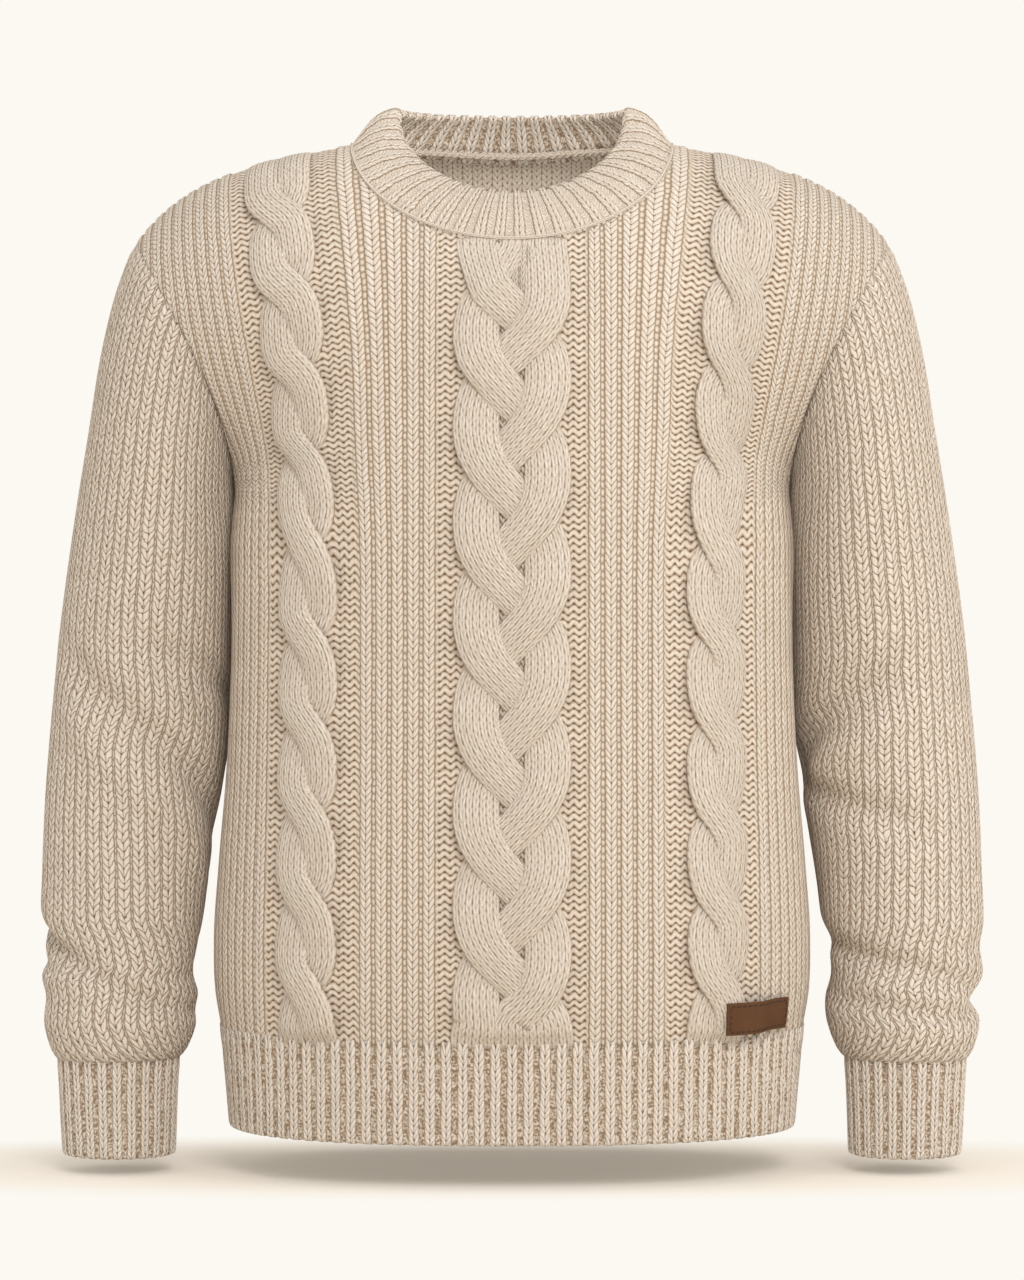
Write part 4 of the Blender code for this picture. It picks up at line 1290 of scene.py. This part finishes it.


# ---- floor, light and camera

studio = {
    "floorLevel": -0.7145,
    "cameraDistance": 2.7,
    "cameraLevel": -0.3465,
    "lens": 108.5,
    "backdrop": (0.974, 0.948, 0.890),
    "warmShade": (0.93, 0.83, 0.69),
    "shadowLift": 0.3,
    "shadeSpread": (2.0, 7.0, 0.0),     # per metre: the shade on the floor keeps within an oval
}


def floorPiece():
    # the floor runs into the backdrop's own tone away from the garment; near the garment a painted warm glow, seen
    # only by the camera, lifts and warms its cast shadow
    bm = bmesh.new()
    bmesh.ops.create_grid(bm, x_segments=2, y_segments=2, size=12.0)
    mesh = bpy.data.meshes.new("studio_floor")
    bm.to_mesh(mesh)
    bm.free()
    mesh.transform(Matrix.Translation((0, 0, studio["floorLevel"])))
    material, wire, shader = newMaterial("pale_floor")
    wire.feed(shader, {"Base Color": (0.955, 0.895, 0.81, 1.0), "Roughness": 0.9, "Specular IOR Level": 0.1})
    spread = {0: wire.add("TexCoord", {})["Object"], 1: studio["shadeSpread"]}
    oval = wire.add("VectorMath", spread, operation="MULTIPLY")["Vector"]
    away = wire.add("VectorMath", {0: oval}, operation="LENGTH")["Value"]
    fade = wire.limit(wire.line(away, 1.25, -0.6))
    fade = wire.times(wire.times(fade, fade), wire.line(fade, -2.0, 3.0))
    glow = wire.add("Emission", {"Color": wire.blendColour(fade, studio["warmShade"], studio["backdrop"])})[0]
    share = wire.line(fade, 1.0 - studio["shadowLift"], studio["shadowLift"])
    seen = wire.times(share, wire.add("LightPath", {})["Is Camera Ray"])
    either = wire.add("MixShader", {0: seen, 1: shader.outputs[0], 2: glow})[0]
    wire.feed(wire.nodes["Material Output"], {"Surface": either})
    mesh.materials.append(material)
    piece = bpy.data.objects.new("studio_floor", mesh)
    deskCollection.objects.link(piece)


# place, target, sides of the rectangle, power, colour
lights = {
    "key": ((0.55, -2.55, 1.2), (0.0, 0.0, -0.35), (1.2, 1.2), 44.0, (1.0, 0.985, 0.965)),
    "fill": ((-2.7, -1.3, 0.2), (0.0, 0.0, -0.35), (1.8, 1.8), 7.0, (1.0, 0.96, 0.91)),
    "side": ((2.4, -0.9, 0.6), (0.0, 0.0, -0.35), (1.4, 1.4), 16.0, (1.0, 0.985, 0.97)),
    "top": ((0.0, -0.4, 2.2), (0.0, 0.0, -0.2), (1.6, 1.6), 11.0, (1.0, 0.98, 0.95)),
    "inside": ((0.0, -0.05, -0.12), (0.0, 0.12, -0.05), (0.12, 0.10), 0.14, (1.0, 0.93, 0.84)),
}


def softLight(name, place, target, size, power, colour):
    data = bpy.data.lights.new(name, "AREA")
    data.shape = "RECTANGLE"
    data.size, data.size_y = size
    data.energy, data.color = power, colour
    lamp = bpy.data.objects.new(name, data)
    lamp.location = place
    lamp.rotation_euler = (Vector(target) - Vector(place)).to_track_quat("-Z", "Y").to_euler()
    deskCollection.objects.link(lamp)


floorPiece()
for name, settings in lights.items():
    softLight(name, *settings)

# the backdrop is brighter to the eye than the light that it gives
world = bpy.data.worlds.new("studio")
world.use_nodes = True
sky = Wiring(world.node_tree)
seen = sky.nodes["Background"]
sky.feed(seen, {"Color": (*studio["backdrop"], 1.0), "Strength": 1.0})
shed = sky.add("Background", {"Color": (1.0, 0.965, 0.915, 1.0), "Strength": 0.58})[0]
ray = sky.add("LightPath", {})["Is Camera Ray"]
sky.feed(sky.nodes["World Output"], {"Surface": sky.add("MixShader", {0: ray, 1: shed, 2: seen.outputs[0]})[0]})
bpy.context.scene.world = world
bpy.context.scene.view_settings.view_transform = "Standard"

camera = bpy.data.objects.new("camera", bpy.data.cameras.new("camera"))
camera.data.sensor_fit = "VERTICAL"
camera.data.sensor_height = 36.0
camera.data.lens = studio["lens"]
camera.location = (0.0, -studio["cameraDistance"], studio["cameraLevel"])
camera.rotation_euler = (math.pi / 2.0, 0.0, 0.0)
deskCollection.objects.link(camera)
bpy.context.scene.camera = camera
print("studio ready")
